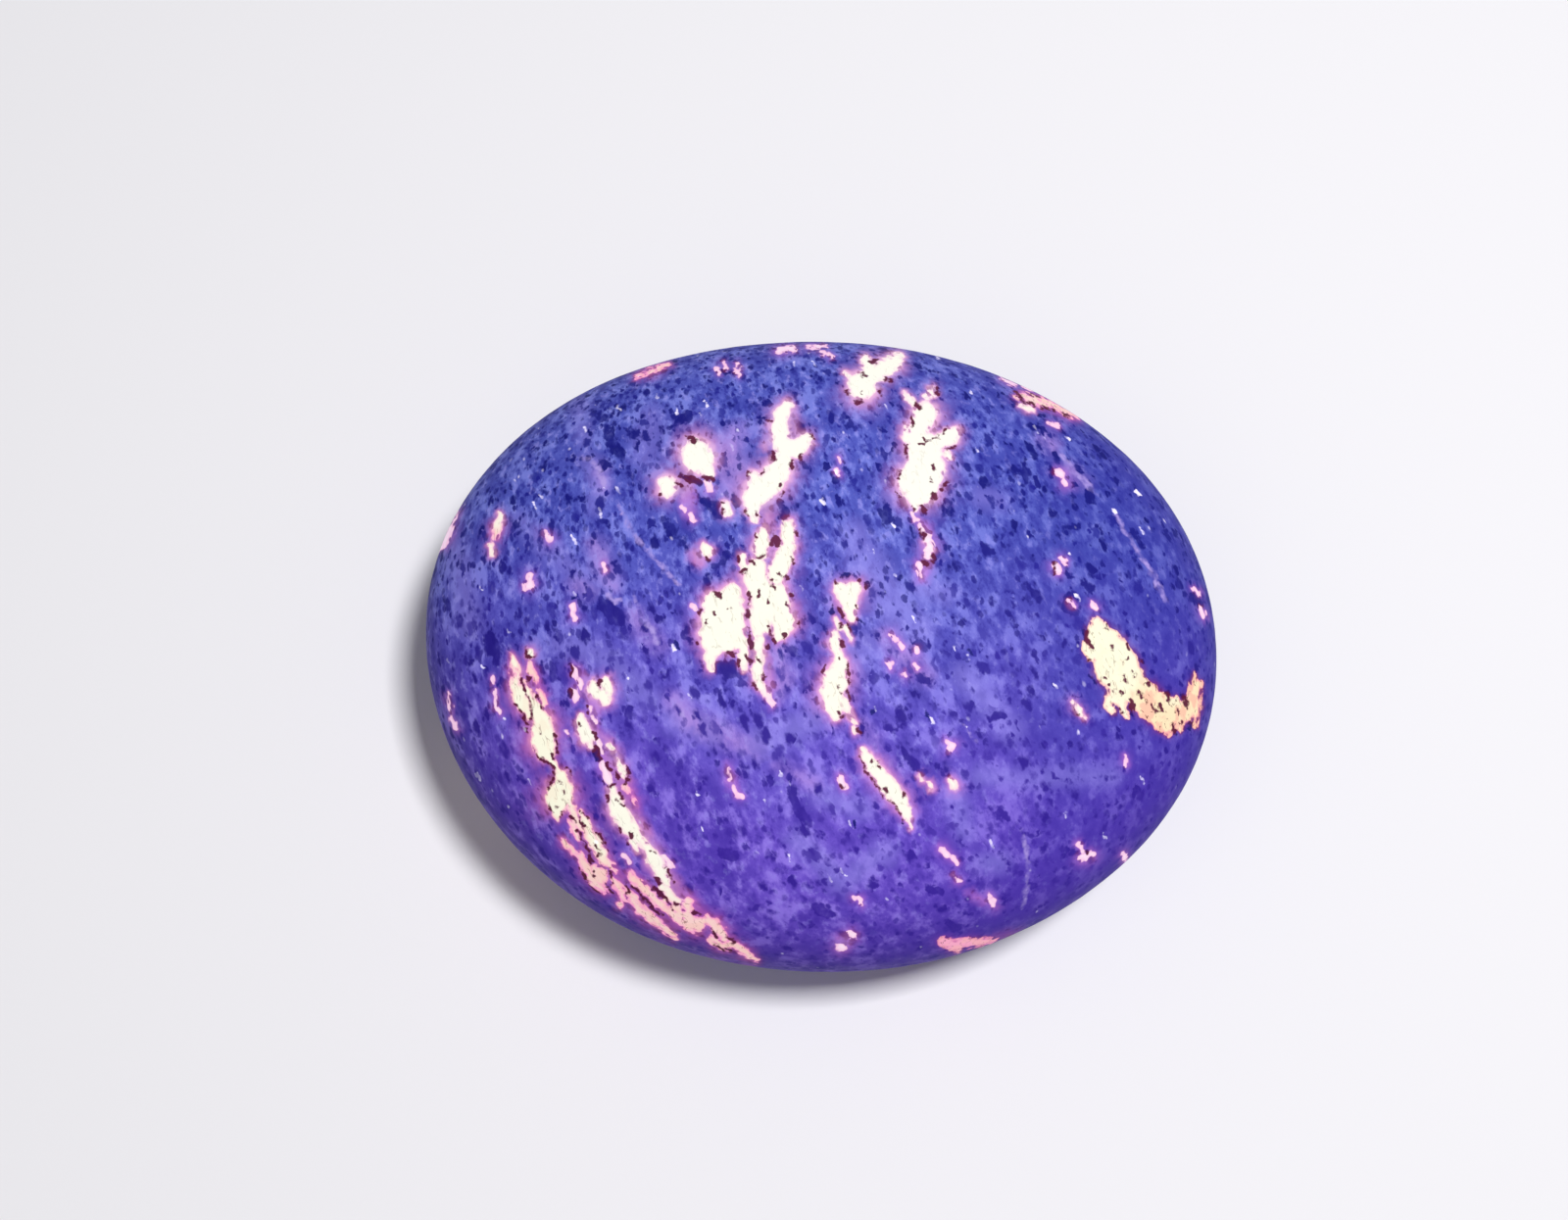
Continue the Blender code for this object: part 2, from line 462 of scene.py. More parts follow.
# Glints are painted highlights: tiny flashes of light off crystal faces, drawn as pale specks
GLINTS = {
    "upper left": (
        ((597, 436, 1.5), (598, 440, 2)),
        ((525, 489, 1.5), (527, 492, 1.5)),
        ((549, 505, 2), (553, 508, 1.8)),
        ((545, 513, 1.8), (548, 520, 1.5)),
        ((630, 415, 2), (632, 419, 2)),
        ((670, 402, 1.5), (672, 407, 1.5)),
        ((691, 416, 1.5), (691, 422, 1.5)),
        ((719, 410, 1.5), (722, 415, 1.8)),
        ((713, 420, 1.2), (716, 425, 1.2)),
        ((745, 453, 1.8), (748, 458, 2)),
        ((629, 497, 1.2), (632, 504, 1.8)),
        ((611, 519, 2), (613, 526, 2)),
        ((584, 546, 1.8), (587, 555, 1.5)),
        ((616, 496, 1.2), (619, 500, 1.5)),
    ),
    "upper right": (
        ((838, 509, 2.2), (841, 514, 2.5)),
        ((811, 369, 1.5), (812, 374, 1.5)),
        ((829, 369, 1.5), (834, 374, 1.5)),
        ((957, 362, 1.5), (959, 366, 1.5)),
        ((853, 479, 1.8), (856, 484, 1.8)),
        ((857, 466, 1.2), (859, 471, 1.8)),
        ((903, 414, 1.2), (905, 418, 1.2)),
        ((957, 361, 1.5), (960, 365, 1.5)),
        ((990, 398, 1.5), (992, 402, 1.5)),
        ((996, 457, 1.5), (999, 461, 1.5)),
        ((1056, 434, 1.2), (1059, 440, 1.5)),
        ((1089, 446, 2), (1092, 450, 2)),
        ((1038, 490, 1.2), (1040, 494, 1.5)),
        ((1160, 502, 3), (1163, 504, 3)),
        ((1163, 538, 1.5), (1166, 545, 1.8)),
        ((1136, 520, 2.2), (1139, 524, 1.8)),
        ((909, 533, 1.2), (912, 537, 1.5)),
        ((890, 561, 1.2), (893, 564, 1.2)),
    ),
    "middle": (
        ((914, 585, 2), (916, 588, 2)),
        ((685, 659, 2), (689, 664, 2)),
        ((585, 605, 1.5), (588, 609, 1.5)),
        ((490, 597, 1.2), (492, 602, 1.5)),
        ((518, 641, 1.2), (520, 646, 1.5)),
        ((986, 668, 1.5), (990, 674, 1.5)),
        ((973, 660, 1.2), (975, 664, 1.5)),
        ((931, 629, 1.5), (934, 636, 1.5)),
        ((816, 599, 1.2), (819, 604, 1.2)),
        ((892, 721, 1.5), (894, 726, 1.5)),
        ((949, 731, 2), (953, 738, 2.2)),
        ((1075, 698, 1.5), (1079, 703, 1.8)),
        ((984, 738, 1.2), (988, 744, 1.5)),
        ((1098, 607, 1.5), (1102, 612, 1.8)),
        ((1090, 565, 1.5), (1094, 568, 1.5)),
        ((702, 709, 1.8), (704, 713, 1.8)),
        ((638, 686, 1.2), (640, 692, 1.5)),
    ),
    "lower": (
        ((487, 789, 1.8), (491, 796, 2)),
        ((456, 672, 1.2), (458, 676, 1.5)),
        ((492, 678, 1.2), (494, 681, 1.5)),
        ((513, 733, 1.5), (515, 735, 1.5)),
        ((575, 744, 1.5), (579, 750, 1.5)),
        ((539, 794, 1.2), (542, 800, 1.2)),
        ((711, 807, 1.5), (714, 811, 1.8)),
        ((715, 842, 1.2), (718, 848, 1.8)),
        ((780, 815, 1.2), (782, 820, 1.2)),
        ((795, 786, 1.5), (797, 791, 1.8)),
        ((805, 797, 1.5), (807, 801, 1.5)),
        ((804, 872, 1.2), (807, 879, 1.8)),
        ((844, 892, 1.5), (848, 899, 1.8)),
        ((858, 888, 1.5), (863, 893, 1.8)),
        ((867, 838, 1.2), (870, 846, 1.5)),
        ((1164, 792, 1.8), (1168, 800, 1.5)),
        ((1125, 850, 1.5), (1130, 857, 1.5)),
        ((1085, 830, 1.5), (1088, 834, 1.5)),
        ((1010, 857, 1.8), (1013, 863, 1.8)),
    ),
}
print(sum(len(chains) for chains in ROSE.values()), "rose strands,", sum(len(c) for c in GLINTS.values()), "glints")

# %% Dark grains that cut the patches
CUTTING_GRAINS = {
    "round patch": (
        ((703, 447, 2.5), (709, 450, 2.5)),
        ((696, 486, 3), (704, 490, 3.5), (714, 492, 3.5)),
        ((717, 487, 2), (728, 489, 2.5)),
        ((674, 501, 1.8), (674, 505, 1.8)),
        ((691, 493, 1.8), (697, 496, 1.8)),
        ((737, 514, 1.2), (738, 524, 1.2)),
    ),
    "forked patch": (
        ((808, 471, 2.2), (808, 476, 2.5)),
        ((816, 464, 2.2), (818, 467, 2)),
        ((796, 494, 1.8), (796, 496, 1.8)),
        ((800, 501, 1.8), (797, 505, 1.8)),
        ((764, 482, 1.3), (763, 486, 1.3)),
        ((776, 484, 1.2), (780, 480, 1)),
        ((788, 461, 1.8), (790, 470, 2)),
        ((777, 426, 1.5), (786, 430, 2)),
        ((761, 521, 1.5), (764, 527, 1.8)),
        ((771, 521, 0.9), (775, 529, 1)),
        ((827, 443, 1.2), (831, 449, 1.3)),
    ),
    "top patch": (
        ((894, 367, 2.2), (889, 369, 2)),
        ((878, 381, 1.2), (885, 385, 1.2)),
        ((903, 386, 1.5), (909, 389, 1.5)),
        ((879, 400, 1.1), (879, 402, 1.1)),
        ((873, 411, 1.5), (879, 410, 1.8)),
        ((864, 400, 1.8), (866, 403, 1.5)),
        ((897, 400, 1.5), (899, 403, 1.5)),
    ),
    "spruce": (
        ((935, 413, 3.5), (938, 416, 3)),
        ((929, 425, 1.5), (932, 434, 2)),
        ((924, 455, 2), (925, 466, 1.5)),
        ((952, 475, 2), (954, 479, 1.8)),
        ((949, 487, 1.5), (951, 491, 1.5)),
        ((951, 504, 3.5), (954, 508, 3)),
        ((966, 459, 1.5), (973, 456, 2)),
        ((956, 445, 1.5), (958, 446, 1.2)),
        ((942, 446, 1.5), (944, 449, 1.5)),
        ((938, 454, 0.7), (947, 450, 0.9), (957, 446, 0.9)),
        ((963, 441, 1.5), (966, 439, 1.8)),
        ((919, 483, 1.5), (917, 487, 1.5)),
        ((914, 501, 1.5), (918, 507, 1.5)),
        ((940, 516, 2), (944, 523, 3)),
        ((932, 515, 1.5), (933, 521, 1.5)),
        ((966, 493, 2.2), (961, 500, 1.5)),
        ((938, 541, 2), (943, 548, 3)),
        ((952, 567, 2), (954, 572, 2)),
        ((942, 573, 2.8), (944, 575, 2.8)),
    ),
    "centre": (
        ((786, 554, 2.5), (791, 550, 3.5), (794, 554, 3.5)),
        ((729, 605, 2.5), (733, 609, 3)),
        ((762, 626, 3), (764, 628, 3)),
        ((786, 591, 1.1), (790, 602, 1.5)),
        ((795, 585, 1.5), (798, 590, 1.5)),
        ((802, 588, 2.2), (805, 589, 2)),
        ((765, 604, 1.8), (765, 610, 1.2), (763, 622, 1)),
        ((774, 603, 1.3), (773, 609, 1.8)),
        ((785, 612, 1.2), (785, 616, 1.2)),
        ((803, 615, 1.2), (806, 620, 1.1)),
        ((784, 639, 1.5), (787, 648, 1.5)),
        ((762, 640, 1.1), (766, 648, 1.1)),
        ((800, 647, 2.8), (801, 650, 2.5)),
        ((788, 653, 2.8), (791, 657, 2.5)),
        ((765, 652, 2.8), (768, 660, 3)),
        ((771, 668, 1.1), (778, 680, 1.2)),
        ((760, 668, 1.5), (765, 676, 2.5)),
        ((743, 665, 1.5), (748, 669, 3)),
        ((752, 672, 1.5), (754, 680, 1.5)),
        ((728, 623, 1.1), (730, 628, 1.2)),
        ((744, 619, 1.4), (746, 620, 1.4)),
        ((721, 632, 1.1), (720, 637, 1.2)),
        ((744, 646, 0.8), (747, 650, 0.8)),
        ((714, 621, 1.8), (713, 627, 1.5)),
        ((711, 655, 2), (712, 658, 2)),
        ((770, 546, 1.3), (771, 551, 1.5)),
        ((766, 571, 1.2), (769, 575, 1.5)),
        ((774, 569, 1.2), (779, 567, 1.8)),
        ((756, 584, 2.2), (760, 582, 2)),
        ((753, 568, 1.8), (754, 573, 1.5)),
        ((811, 543, 1.5), (814, 547, 1.5)),
        ((807, 568, 1), (810, 575, 0.9)),
        ((806, 606, 2), (808, 608, 2)),
        ((814, 634, 1.5), (815, 640, 1.5)),
        ((782, 659, 1.8), (783, 663, 2)),
        ((768, 696, 1.5), (771, 703, 1.8)),
        ((779, 688, 1.2), (780, 693, 1.2)),
        ((721, 567, 1.5), (723, 572, 1.8)),
    ),
    "heart and middle streak": (
        ((859, 586, 2.5), (867, 588, 3)),
        ((853, 593, 1.8), (854, 595, 1.5)),
        ((884, 593, 1.8), (885, 599, 1.8)),
        ((877, 592, 1.8), (879, 595, 1.5)),
        ((873, 618, 1.2), (874, 620, 1.2)),
        ((848, 619, 2), (851, 626, 2)),
        ((856, 621, 1.5), (860, 629, 1.8)),
        ((874, 630, 1), (881, 636, 1.2)),
        ((863, 634, 0.9), (868, 644, 0.9)),
        ((858, 637, 1.2), (859, 640, 1.2)),
        ((859, 656, 2.2), (861, 660, 2.2)),
        ((856, 669, 1.2), (857, 672, 1.2)),
        ((865, 677, 1.5), (867, 690, 2), (866, 698, 1.5)),
        ((864, 703, 1.8), (868, 714, 2)),
        ((856, 702, 1.2), (858, 707, 1)),
        ((841, 679, 2), (840, 687, 1.8)),
        ((856, 727, 1.8), (859, 730, 1.8)),
        ((876, 744, 1.8), (878, 748, 2)),
    ),
    "lower streak": (
        ((904, 805, 1.5), (905, 807, 1.5)),
        ((921, 808, 1.5), (922, 812, 1.8)),
        ((888, 775, 0.9), (889, 777, 0.9)),
        ((897, 779, 1.8), (899, 787, 1)),
        ((878, 773, 0.9), (884, 788, 1), (893, 801, 1.2), (902, 814, 1.8)),
        ((908, 816, 1.5), (917, 826, 1.2), (922, 840, 0.8)),
    ),
    "right patch": (
        ((1106, 644, 3), (1109, 653, 2.8), (1115, 662, 1)),
        ((1133, 654, 1), (1135, 664, 1.1)),
        ((1151, 657, 1.5), (1151, 663, 1.8)),
        ((1164, 673, 1.8), (1166, 677, 1.5)),
        ((1112, 689, 1.5), (1117, 696, 1.8)),
        ((1108, 670, 1.5), (1111, 674, 1.8)),
        ((1129, 640, 1.8), (1131, 643, 1.8)),
        ((1126, 690, 1.6), (1128, 692, 1.5)),
        ((1147, 689, 1), (1151, 697, 1.1)),
        ((1154, 686, 1.2), (1158, 691, 1.4)),
        ((1150, 673, 1.1), (1152, 672, 1.1)),
        ((1170, 697, 1.5), (1172, 699, 1.4)),
        ((1161, 706, 1.3), (1165, 710, 1.8)),
        ((1153, 713, 2), (1156, 720, 3), (1155, 728, 2.4)),
        ((1144, 706, 0.9), (1145, 710, 1)),
        ((1141, 722, 0.9), (1145, 728, 1.2)),
        ((1137, 703, 0.8), (1138, 708, 0.9)),
        ((1175, 718, 1.2), (1180, 726, 1.8)),
        ((1183, 719, 2), (1185, 724, 2.5)),
        ((1190, 707, 2), (1193, 714, 2)),
        ((1205, 708, 1.8), (1210, 714, 2.5), (1211, 722, 1.2)),
        ((1197, 738, 1.8), (1199, 745, 1.8)),
        ((1198, 748, 1.6), (1199, 750, 1.6)),
        ((1190, 732, 1.3), (1191, 734, 1.3)),
        ((1206, 737, 1.3), (1208, 738, 1.3)),
        ((1216, 738, 1.6), (1213, 743, 1.5)),
        ((1201, 723, 1), (1202, 727, 1)),
        ((1130, 698, 1.2), (1134, 699, 1.5)),
    ),
    "outer streak": (
        ((532, 694, 2.2), (534, 700, 1.6), (537, 708, 0.9), (541, 716, 0.8), (542.5, 727, 1), (543, 733, 1.6)),
        ((539.5, 691, 1.8), (540, 695, 1.5)),
        ((547, 710, 1.3), (550, 713, 1.2)),
        ((552, 721, 1.2), (554, 723.5, 1.6)),
        ((524, 716, 1), (530, 724, 1.3), (535, 733, 1.5), (539, 740, 1)),
        ((536, 744, 1.8), (537, 747, 1.5)),
        ((550.5, 747, 1.3), (551, 749, 1.3)),
        ((566, 750, 1), (568, 758, 1.3), (569, 768, 1.2)),
        ((563, 769, 1.2), (565, 774, 1.6)),
        ((547, 771, 1.2), (553, 774, 1.5), (559, 778, 1.6), (565, 783, 1.6), (566, 790, 1.6)),
        ((566, 790, 1), (562, 798, 1.2), (559, 804, 1.2)),
        ((578, 783, 1.2), (582, 789, 1.5)),
        ((575, 807, 1.3), (576, 809, 1.3)),
        ((568, 822, 1.2), (569, 824, 1.2)),
        ((568, 795, 0.7), (573, 801, 0.7)),
        ((561, 822, 2), (563, 827, 1.6)),
        ((572, 834, 1.6), (574, 829, 1.6)),
        ((592, 828, 1), (597, 831, 1.2), (600, 835, 0.9)),
        ((592, 835, 0.9), (594, 841, 1.9), (596, 843, 1.9)),
        ((583, 833, 1.2), (587, 840, 0.9)),
        ((589, 847, 1.3), (593, 854, 1.3), (597, 861, 1.1), (601, 868, 1.4), (603, 880, 1.6)),
        ((605, 860, 0.9), (609, 865, 1.2), (611, 871, 1.1), (610, 876, 0.9)),
        ((606, 888, 1.1), (606, 894, 1.1)),
        ((616, 901, 0.9), (622, 907, 1.1), (625, 910, 0.8)),
        ((620, 888, 0.8), (624, 894, 1.1), (624, 903, 1)),
        ((609, 849, 1.4), (614, 858, 1.5), (620, 867, 1)),
        ((639, 904, 1.6), (641, 912, 1.5)),
        ((591, 885, 1), (597, 895, 1.3), (603, 904, 1.2), (611, 911, 1)),
        ((545, 671, 1.2), (540, 672, 2), (536, 666, 1.6), (537, 660, 1)),
    ),
    "inner strand": (
        ((611, 696, 2.5), (612, 699.5, 2)),
        ((583, 680, 2), (584, 692, 1.5)),
        ((583, 703, 2.2), (582, 710, 2.4)),
        ((599, 721, 1.6), (600, 728, 1.4)),
        ((591, 738, 1), (592, 742, 1)),
        ((606, 748, 2), (609, 753, 1.6)),
        ((608, 764, 3.8), (611, 776, 3)),
        ((620, 779, 1.6), (623, 785, 1.9)),
        ((627, 788, 1.8), (630, 794, 2.3)),
        ((641, 783, 1.8), (642, 789, 2)),
        ((637, 800, 1.6), (640, 794, 2)),
        ((622, 802, 2.2), (627, 800, 1.6)),
        ((615, 797, 1.5), (617, 802, 1.3)),
        ((620, 810, 1.3), (620, 818, 1.2)),
        ((632, 808, 1.2), (634, 815, 1.7)),
        ((628, 816, 0.8), (633, 820, 1.4), (638, 822, 0.9)),
        ((631, 844, 1.5), (633, 848, 2)),
        ((644, 851, 3), (645, 854, 2.6)),
        ((640, 855, 1.4), (640, 863, 1.2)),
        ((664, 866, 1), (668, 870, 1.2)),
        ((679, 884, 1.3), (683, 892, 1.6), (688, 900, 1)),
        ((671, 897, 2.8), (674, 902, 2)),
        ((667, 906, 2.5), (674, 912, 3.2), (683, 920, 1.5)),
        ((689, 922, 1.8), (693, 923, 1.8)),
        ((645, 903, 1.2), (652, 911, 1.5), (660, 919, 1.6), (668, 928, 1.4), (676, 934, 1)),
        ((684, 923, 1), (686, 931, 0.9)),
        ((708, 931, 1.5), (714, 934, 1.5)),
        ((726, 948, 1.1), (731, 956, 1.8)),
        ((740, 955, 1.3), (749, 961, 1.6)),
        ((730, 964, 1), (738, 969, 1), (747, 971, 0.9)),
    ),
    "upper right rim": (
        ((1036, 400, 1.5), (1046, 409, 1.4), (1056, 413, 1.6)),
        ((1052, 402, 1.1), (1060, 405, 1.2)),
        ((1064, 414, 1.8), (1076, 419, 1.6)),
        ((1060, 423, 1.6), (1066, 424, 1.6)),
        ((1086, 421, 1.1), (1092, 425, 1.1)),
    ),
    "beside glints": (
        ((601, 438, 1.5), (603, 442, 2)),
        ((919, 588, 1.8), (919, 591, 1.8)),
        ((688, 656, 1.8), (692, 662, 2)),
        ((989, 665, 1.8), (992, 668, 1.8)),
        ((985, 671, 1.3), (987, 675, 1.3)),
        ((583, 609, 1.4), (586, 611, 1.4)),
        ((890, 726, 1.6), (892, 728, 1.6)),
        ((945, 727, 1.4), (948, 735, 1.5)),
        ((1093, 720, 1), (1100, 729, 1.2)),
        ((1059, 433, 1.2), (1061, 437, 1.4)),
        ((992, 458, 1.4), (995, 461, 1.4)),
        ((872, 838, 1.5), (873, 844, 1.8)),
        ((957, 397, 2), (957, 402, 2)),
        ((1108, 868, 2), (1109, 871, 2)),
        ((1075, 574, 1.8), (1076, 586, 2)),
        ((858, 800, 1.5), (861, 804, 1.2)),
    ),
}
print(sum(len(chains) for chains in CUTTING_GRAINS.values()), "small dark grains")

# %% Larger dark grains and pale threads
LARGE_GRAINS = {
    "upper left": (
        ((719, 511, 5), (728, 517, 8), (732, 527, 4.5)),
        ((676, 530, 4), (686, 542, 7.5), (696, 553, 5.5)),
        ((680, 440, 3), (688, 435, 5)),
        ((693, 430, 5.5), (701, 425, 5)),
        ((606, 421, 3.5), (617, 427, 6)),
        ((622, 437, 5), (620, 450, 5.5), (628, 458, 7), (635, 465, 4.5)),
        ((639, 439, 4.5), (650, 444, 5.5)),
        ((666, 450, 3.5), (669, 447, 3)),
        ((614, 471, 4), (622, 476, 5)),
        ((630, 481, 3), (631, 485, 3.5)),
        ((735, 430, 2.5), (740, 434, 3.5)),
        ((759, 432, 3), (764, 435, 3.5)),
        ((757, 447, 3.5), (764, 450, 3.5)),
        ((755, 476, 2.8), (757, 481, 2.8)),
        ((590, 510, 5), (593, 507, 4)),
        ((524, 534, 4), (532, 543, 4.5)),
        ((590, 557, 2.5), (592, 563, 3)),
        ((554, 500, 4.5), (557, 503, 3)),
        ((613, 531, 3), (622, 537, 5)),
    ),
    "upper middle and right": (
        ((820, 474, 4), (826, 480, 4.5)),
        ((797, 513, 4), (801, 521, 7), (799, 530, 3.5)),
        ((903, 520, 8), (907, 530, 6.5), (905, 537, 3.5)),
        ((866, 426, 4), (867, 434, 6)),
        ((850, 446, 3.5), (853, 450, 3)),
        ((851, 488, 4), (853, 496, 4.5)),
        ((966, 512, 4.5), (968, 522, 6)),
        ((1046, 473, 4.5), (1047, 484, 7), (1046, 493, 4)),
        ((1052, 465, 4), (1059, 465, 4)),
        ((1076, 463, 4), (1080, 470, 4)),
        ((1020, 477, 2.8), (1022, 487, 3.2)),
        ((1032, 472, 3), (1036, 484, 4)),
        ((1111, 500, 5), (1112, 511, 6)),
        ((1078, 499, 3.5), (1076, 509, 3.5)),
        ((1087, 538, 4), (1098, 537, 5)),
        ((1046, 511, 3.5), (1044, 518, 3.5)),
        ((1062, 503, 2.5), (1064, 508, 2.5)),
        ((1100, 478, 4), (1105, 481, 3.5)),
        ((1093, 508, 3.5), (1098, 514, 3)),
        ((1163, 548, 2.5), (1165, 557, 2.8)),
        ((1071, 476, 3), (1075, 482, 3)),
    ),
    "left": (
        ((611, 612, 5), (620, 620, 9), (628, 628, 10), (633, 637, 4.5)),
        ((500, 650, 7), (503, 662, 9), (507, 676, 5)),
        ((557, 633, 4), (559, 642, 3.8)),
        ((568, 641, 2.5), (566, 653, 2.8)),
        ((556, 603, 3.2), (557, 611, 3.8)),
        ((567, 604, 2.5), (567, 610, 2.8)),
        ((577, 628, 3), (578, 632, 3)),
        ((564, 674, 5), (566, 690, 6.5)),
        ((481, 614, 3), (480, 628, 3.5)),
        ((589, 648, 2.8), (598, 651, 3.5)),
        ((610, 669, 3), (612, 673, 3)),
        ((642, 723, 5), (644, 732, 6)),
        ((670, 613, 4), (674, 615, 4)),
        ((604, 573, 3.5), (607, 577, 3.5)),
        ((627, 573, 3.5), (630, 572, 3)),
        ((484, 573, 3), (483, 580, 3)),
        ((455, 611, 3), (457, 620, 3)),
    ),
    "centre": (
        ((735, 681, 7.5), (745, 684, 9.5), (754, 690, 4)),
        ((740, 690, 5), (742, 698, 4)),
        ((717, 587, 4), (723, 592, 6)),
        ((742, 566, 6), (737, 574, 5), (728, 580, 3.5)),
        ((697, 650, 4), (704, 653, 3)),
        ((718, 698, 3.5), (722, 702, 2.8)),
        ((733, 706, 4.5), (737, 710, 4)),
        ((755, 698, 4), (761, 697, 4.5)),
        ((789, 680, 2.5), (790, 684, 2.5)),
        ((803, 662, 6), (815, 668, 5)),
        ((936, 691, 4), (944, 693, 6.5)),
        ((926, 639, 3), (932, 652, 4.5), (944, 662, 5), (952, 658, 2.5)),
        ((889, 641, 2.5), (893, 648, 3)),
        ((894, 604, 2), (898, 608, 2.5)),
        ((911, 614, 2), (914, 620, 2.2)),
        ((936, 604, 1.8), (938, 609, 1.8)),
        ((830, 725, 3), (833, 732, 3)),
        ((831, 713, 3.5), (835, 717, 3)),
        ((906, 742, 3), (918, 742, 3.5)),
        ((926, 713, 3), (928, 718, 3)),
        ((928, 730, 4), (929, 736, 4)),
    ),
    "right": (
        ((1053, 597, 5), (1057, 607, 6)),
        ((1103, 591, 4), (1113, 602, 5)),
        ((1092, 604, 4.5), (1085, 620, 4), (1100, 626, 4)),
        ((1091, 582, 4), (1092, 587, 3.5)),
        ((1203, 590, 4), (1204, 598, 5)),
        ((1216, 609, 5), (1224, 616, 5)),
        ((1009, 735, 5), (1022, 729, 6)),
        ((974, 645, 2), (976, 650, 2.5)),
        ((963, 654, 3), (965, 658, 3)),
        ((1027, 702, 2.5), (1029, 709, 3)),
        ((1033, 690, 2.5), (1036, 694, 2.8)),
        ((1031, 632, 4), (1036, 640, 4)),
        ((1055, 668, 5), (1059, 672, 4)),
        ((982, 617, 2), (984, 622, 2.5)),
        ((975, 732, 2.5), (981, 735, 3)),
        ((1023, 584, 2.8), (1027, 592, 2)),
        ((1160, 806, 6), (1163, 815, 5)),
        ((1073, 789, 3), (1075, 793, 3)),
        ((1084, 793, 2.5), (1087, 797, 2.5)),
    ),
    "lower": (
        ((920, 760, 3.5), (926, 771, 4.5), (934, 783, 7), (943, 791, 3.5)),
        ((806, 806, 5), (812, 820, 7), (821, 836, 6.5), (826, 850, 4.5)),
        ((823, 869, 5), (834, 876, 7)),
        ((785, 795, 4.5), (788, 801, 4)),
        ((738, 870, 8), (748, 874, 8)),
        ((835, 928, 8), (850, 934, 5)),
        ((948, 906, 5.5), (959, 911, 4.5)),
        ((967, 941, 5), (977, 948, 6)),
        ((1017, 826, 5), (1021, 832, 6.5), (1031, 835, 3.5)),
        ((1053, 852, 3.5), (1063, 850, 3.5)),
        ((1086, 866, 6), (1090, 872, 4)),
        ((1052, 902, 5), (1056, 908, 5)),
        ((885, 846, 4.5), (891, 849, 4.5)),
        ((970, 822, 3), (973, 825, 3)),
        ((974, 842, 2.8), (976, 845, 2.8)),
        ((962, 789, 3.5), (966, 790, 3.5)),
        ((988, 806, 3), (990, 808, 3)),
        ((915, 885, 2.5), (918, 893, 3)),
        ((1049, 797, 4), (1041, 808, 4.5)),
        ((1071, 817, 4), (1072, 824, 4)),
        ((836, 851, 3.5), (840, 853, 3.5)),
        ((902, 854, 2.5), (905, 857, 2.5)),
        ((984, 932, 3.5), (988, 934, 3)),
        ((738, 379, 2.5), (745, 380, 2.5), (749, 383, 3)),
    ),
}
THREADS = {
    "upper left": (
        ((597, 467, 1.3), (606, 472, 1.7), (612, 482, 1.7), (617, 496, 1.6)),
        ((632, 517, 1), (640, 535, 1.6), (652, 553, 1), (672, 574, 0.9), (692, 597, 1.8)),
        ((646, 609, 1.2), (651, 617, 1)),
    ),
    "left of the centre": (
        ((660, 634, 1.5), (666, 645, 2.2), (670, 656, 1.8)),
        ((621, 608, 1.8), (628, 614, 1.8), (634, 611, 1.2)),
        ((693, 718, 1.2), (698, 729, 1.8)),
    ),
    "upper right": (
        ((1083, 464, 1), (1095, 480, 1.6), (1108, 492, 1.8), (1118, 503, 1.2)),
        ((1138, 525, 1), (1148, 542, 1.2), (1158, 556, 0.7), (1170, 576, 0.7), (1184, 600, 1.6), (1192, 616, 0.8)),
    ),
    "lower right": (
        ((1043, 846, 0.9), (1046, 862, 1.5), (1049, 880, 1.1), (1049, 895, 1), (1046, 912, 1), (1044, 926, 0.9)),
        ((985, 740, 1), (990, 750, 1), (997, 757, 0.9)),
    ),
}
print(sum(len(c) for c in LARGE_GRAINS.values()), "large grains,", sum(len(c) for c in THREADS.values()), "threads")

# %% Soft hazes
MILKY_HAZES = {
    "upper left": (((593, 412, 8), (592, 430, 8), (597, 447, 8)), ((601, 470, 9), (611, 495, 9), (606, 516, 8))),
    "left": (((572, 656, 12), (600, 663, 12), (624, 676, 10), (650, 700, 12)),),
    "between the upper patches": (((745, 452, 16), (762, 440, 10)), ((745, 495, 10), (757, 470, 8))),
    "middle": (((872, 545, 14), (888, 585, 20), (905, 612, 22), (936, 640, 16)), ((940, 600, 14), (965, 606, 10))),
    "below the middle": (((880, 660, 16), (830, 735, 14), (770, 760, 14)),),
    "lower left of the centre": (((690, 735, 13), (728, 748, 12)), ((640, 700, 12), (668, 716, 8))),
    "above the round patch": (((664, 425, 11), (655, 465, 12)),),
    "left edge": (((468, 560, 10), (474, 600, 12), (480, 640, 10)), ((530, 530, 8), (560, 560, 10), (600, 596, 8))),
    "far right": (((1002, 507, 10), (1020, 512, 9)), ((985, 690, 12), (1010, 720, 10), (1030, 745, 12))),
    "lower right band": (((1000, 792, 9), (1040, 795, 8), (1085, 792, 8), (1135, 792, 7)),),
    "lower right": (((975, 815, 10), (985, 850, 9)), ((1020, 880, 10), (1000, 880, 8))),
    "lower middle": (((815, 858, 12), (860, 900, 12), (905, 868, 12)), ((840, 812, 10), (880, 825, 10))),
}
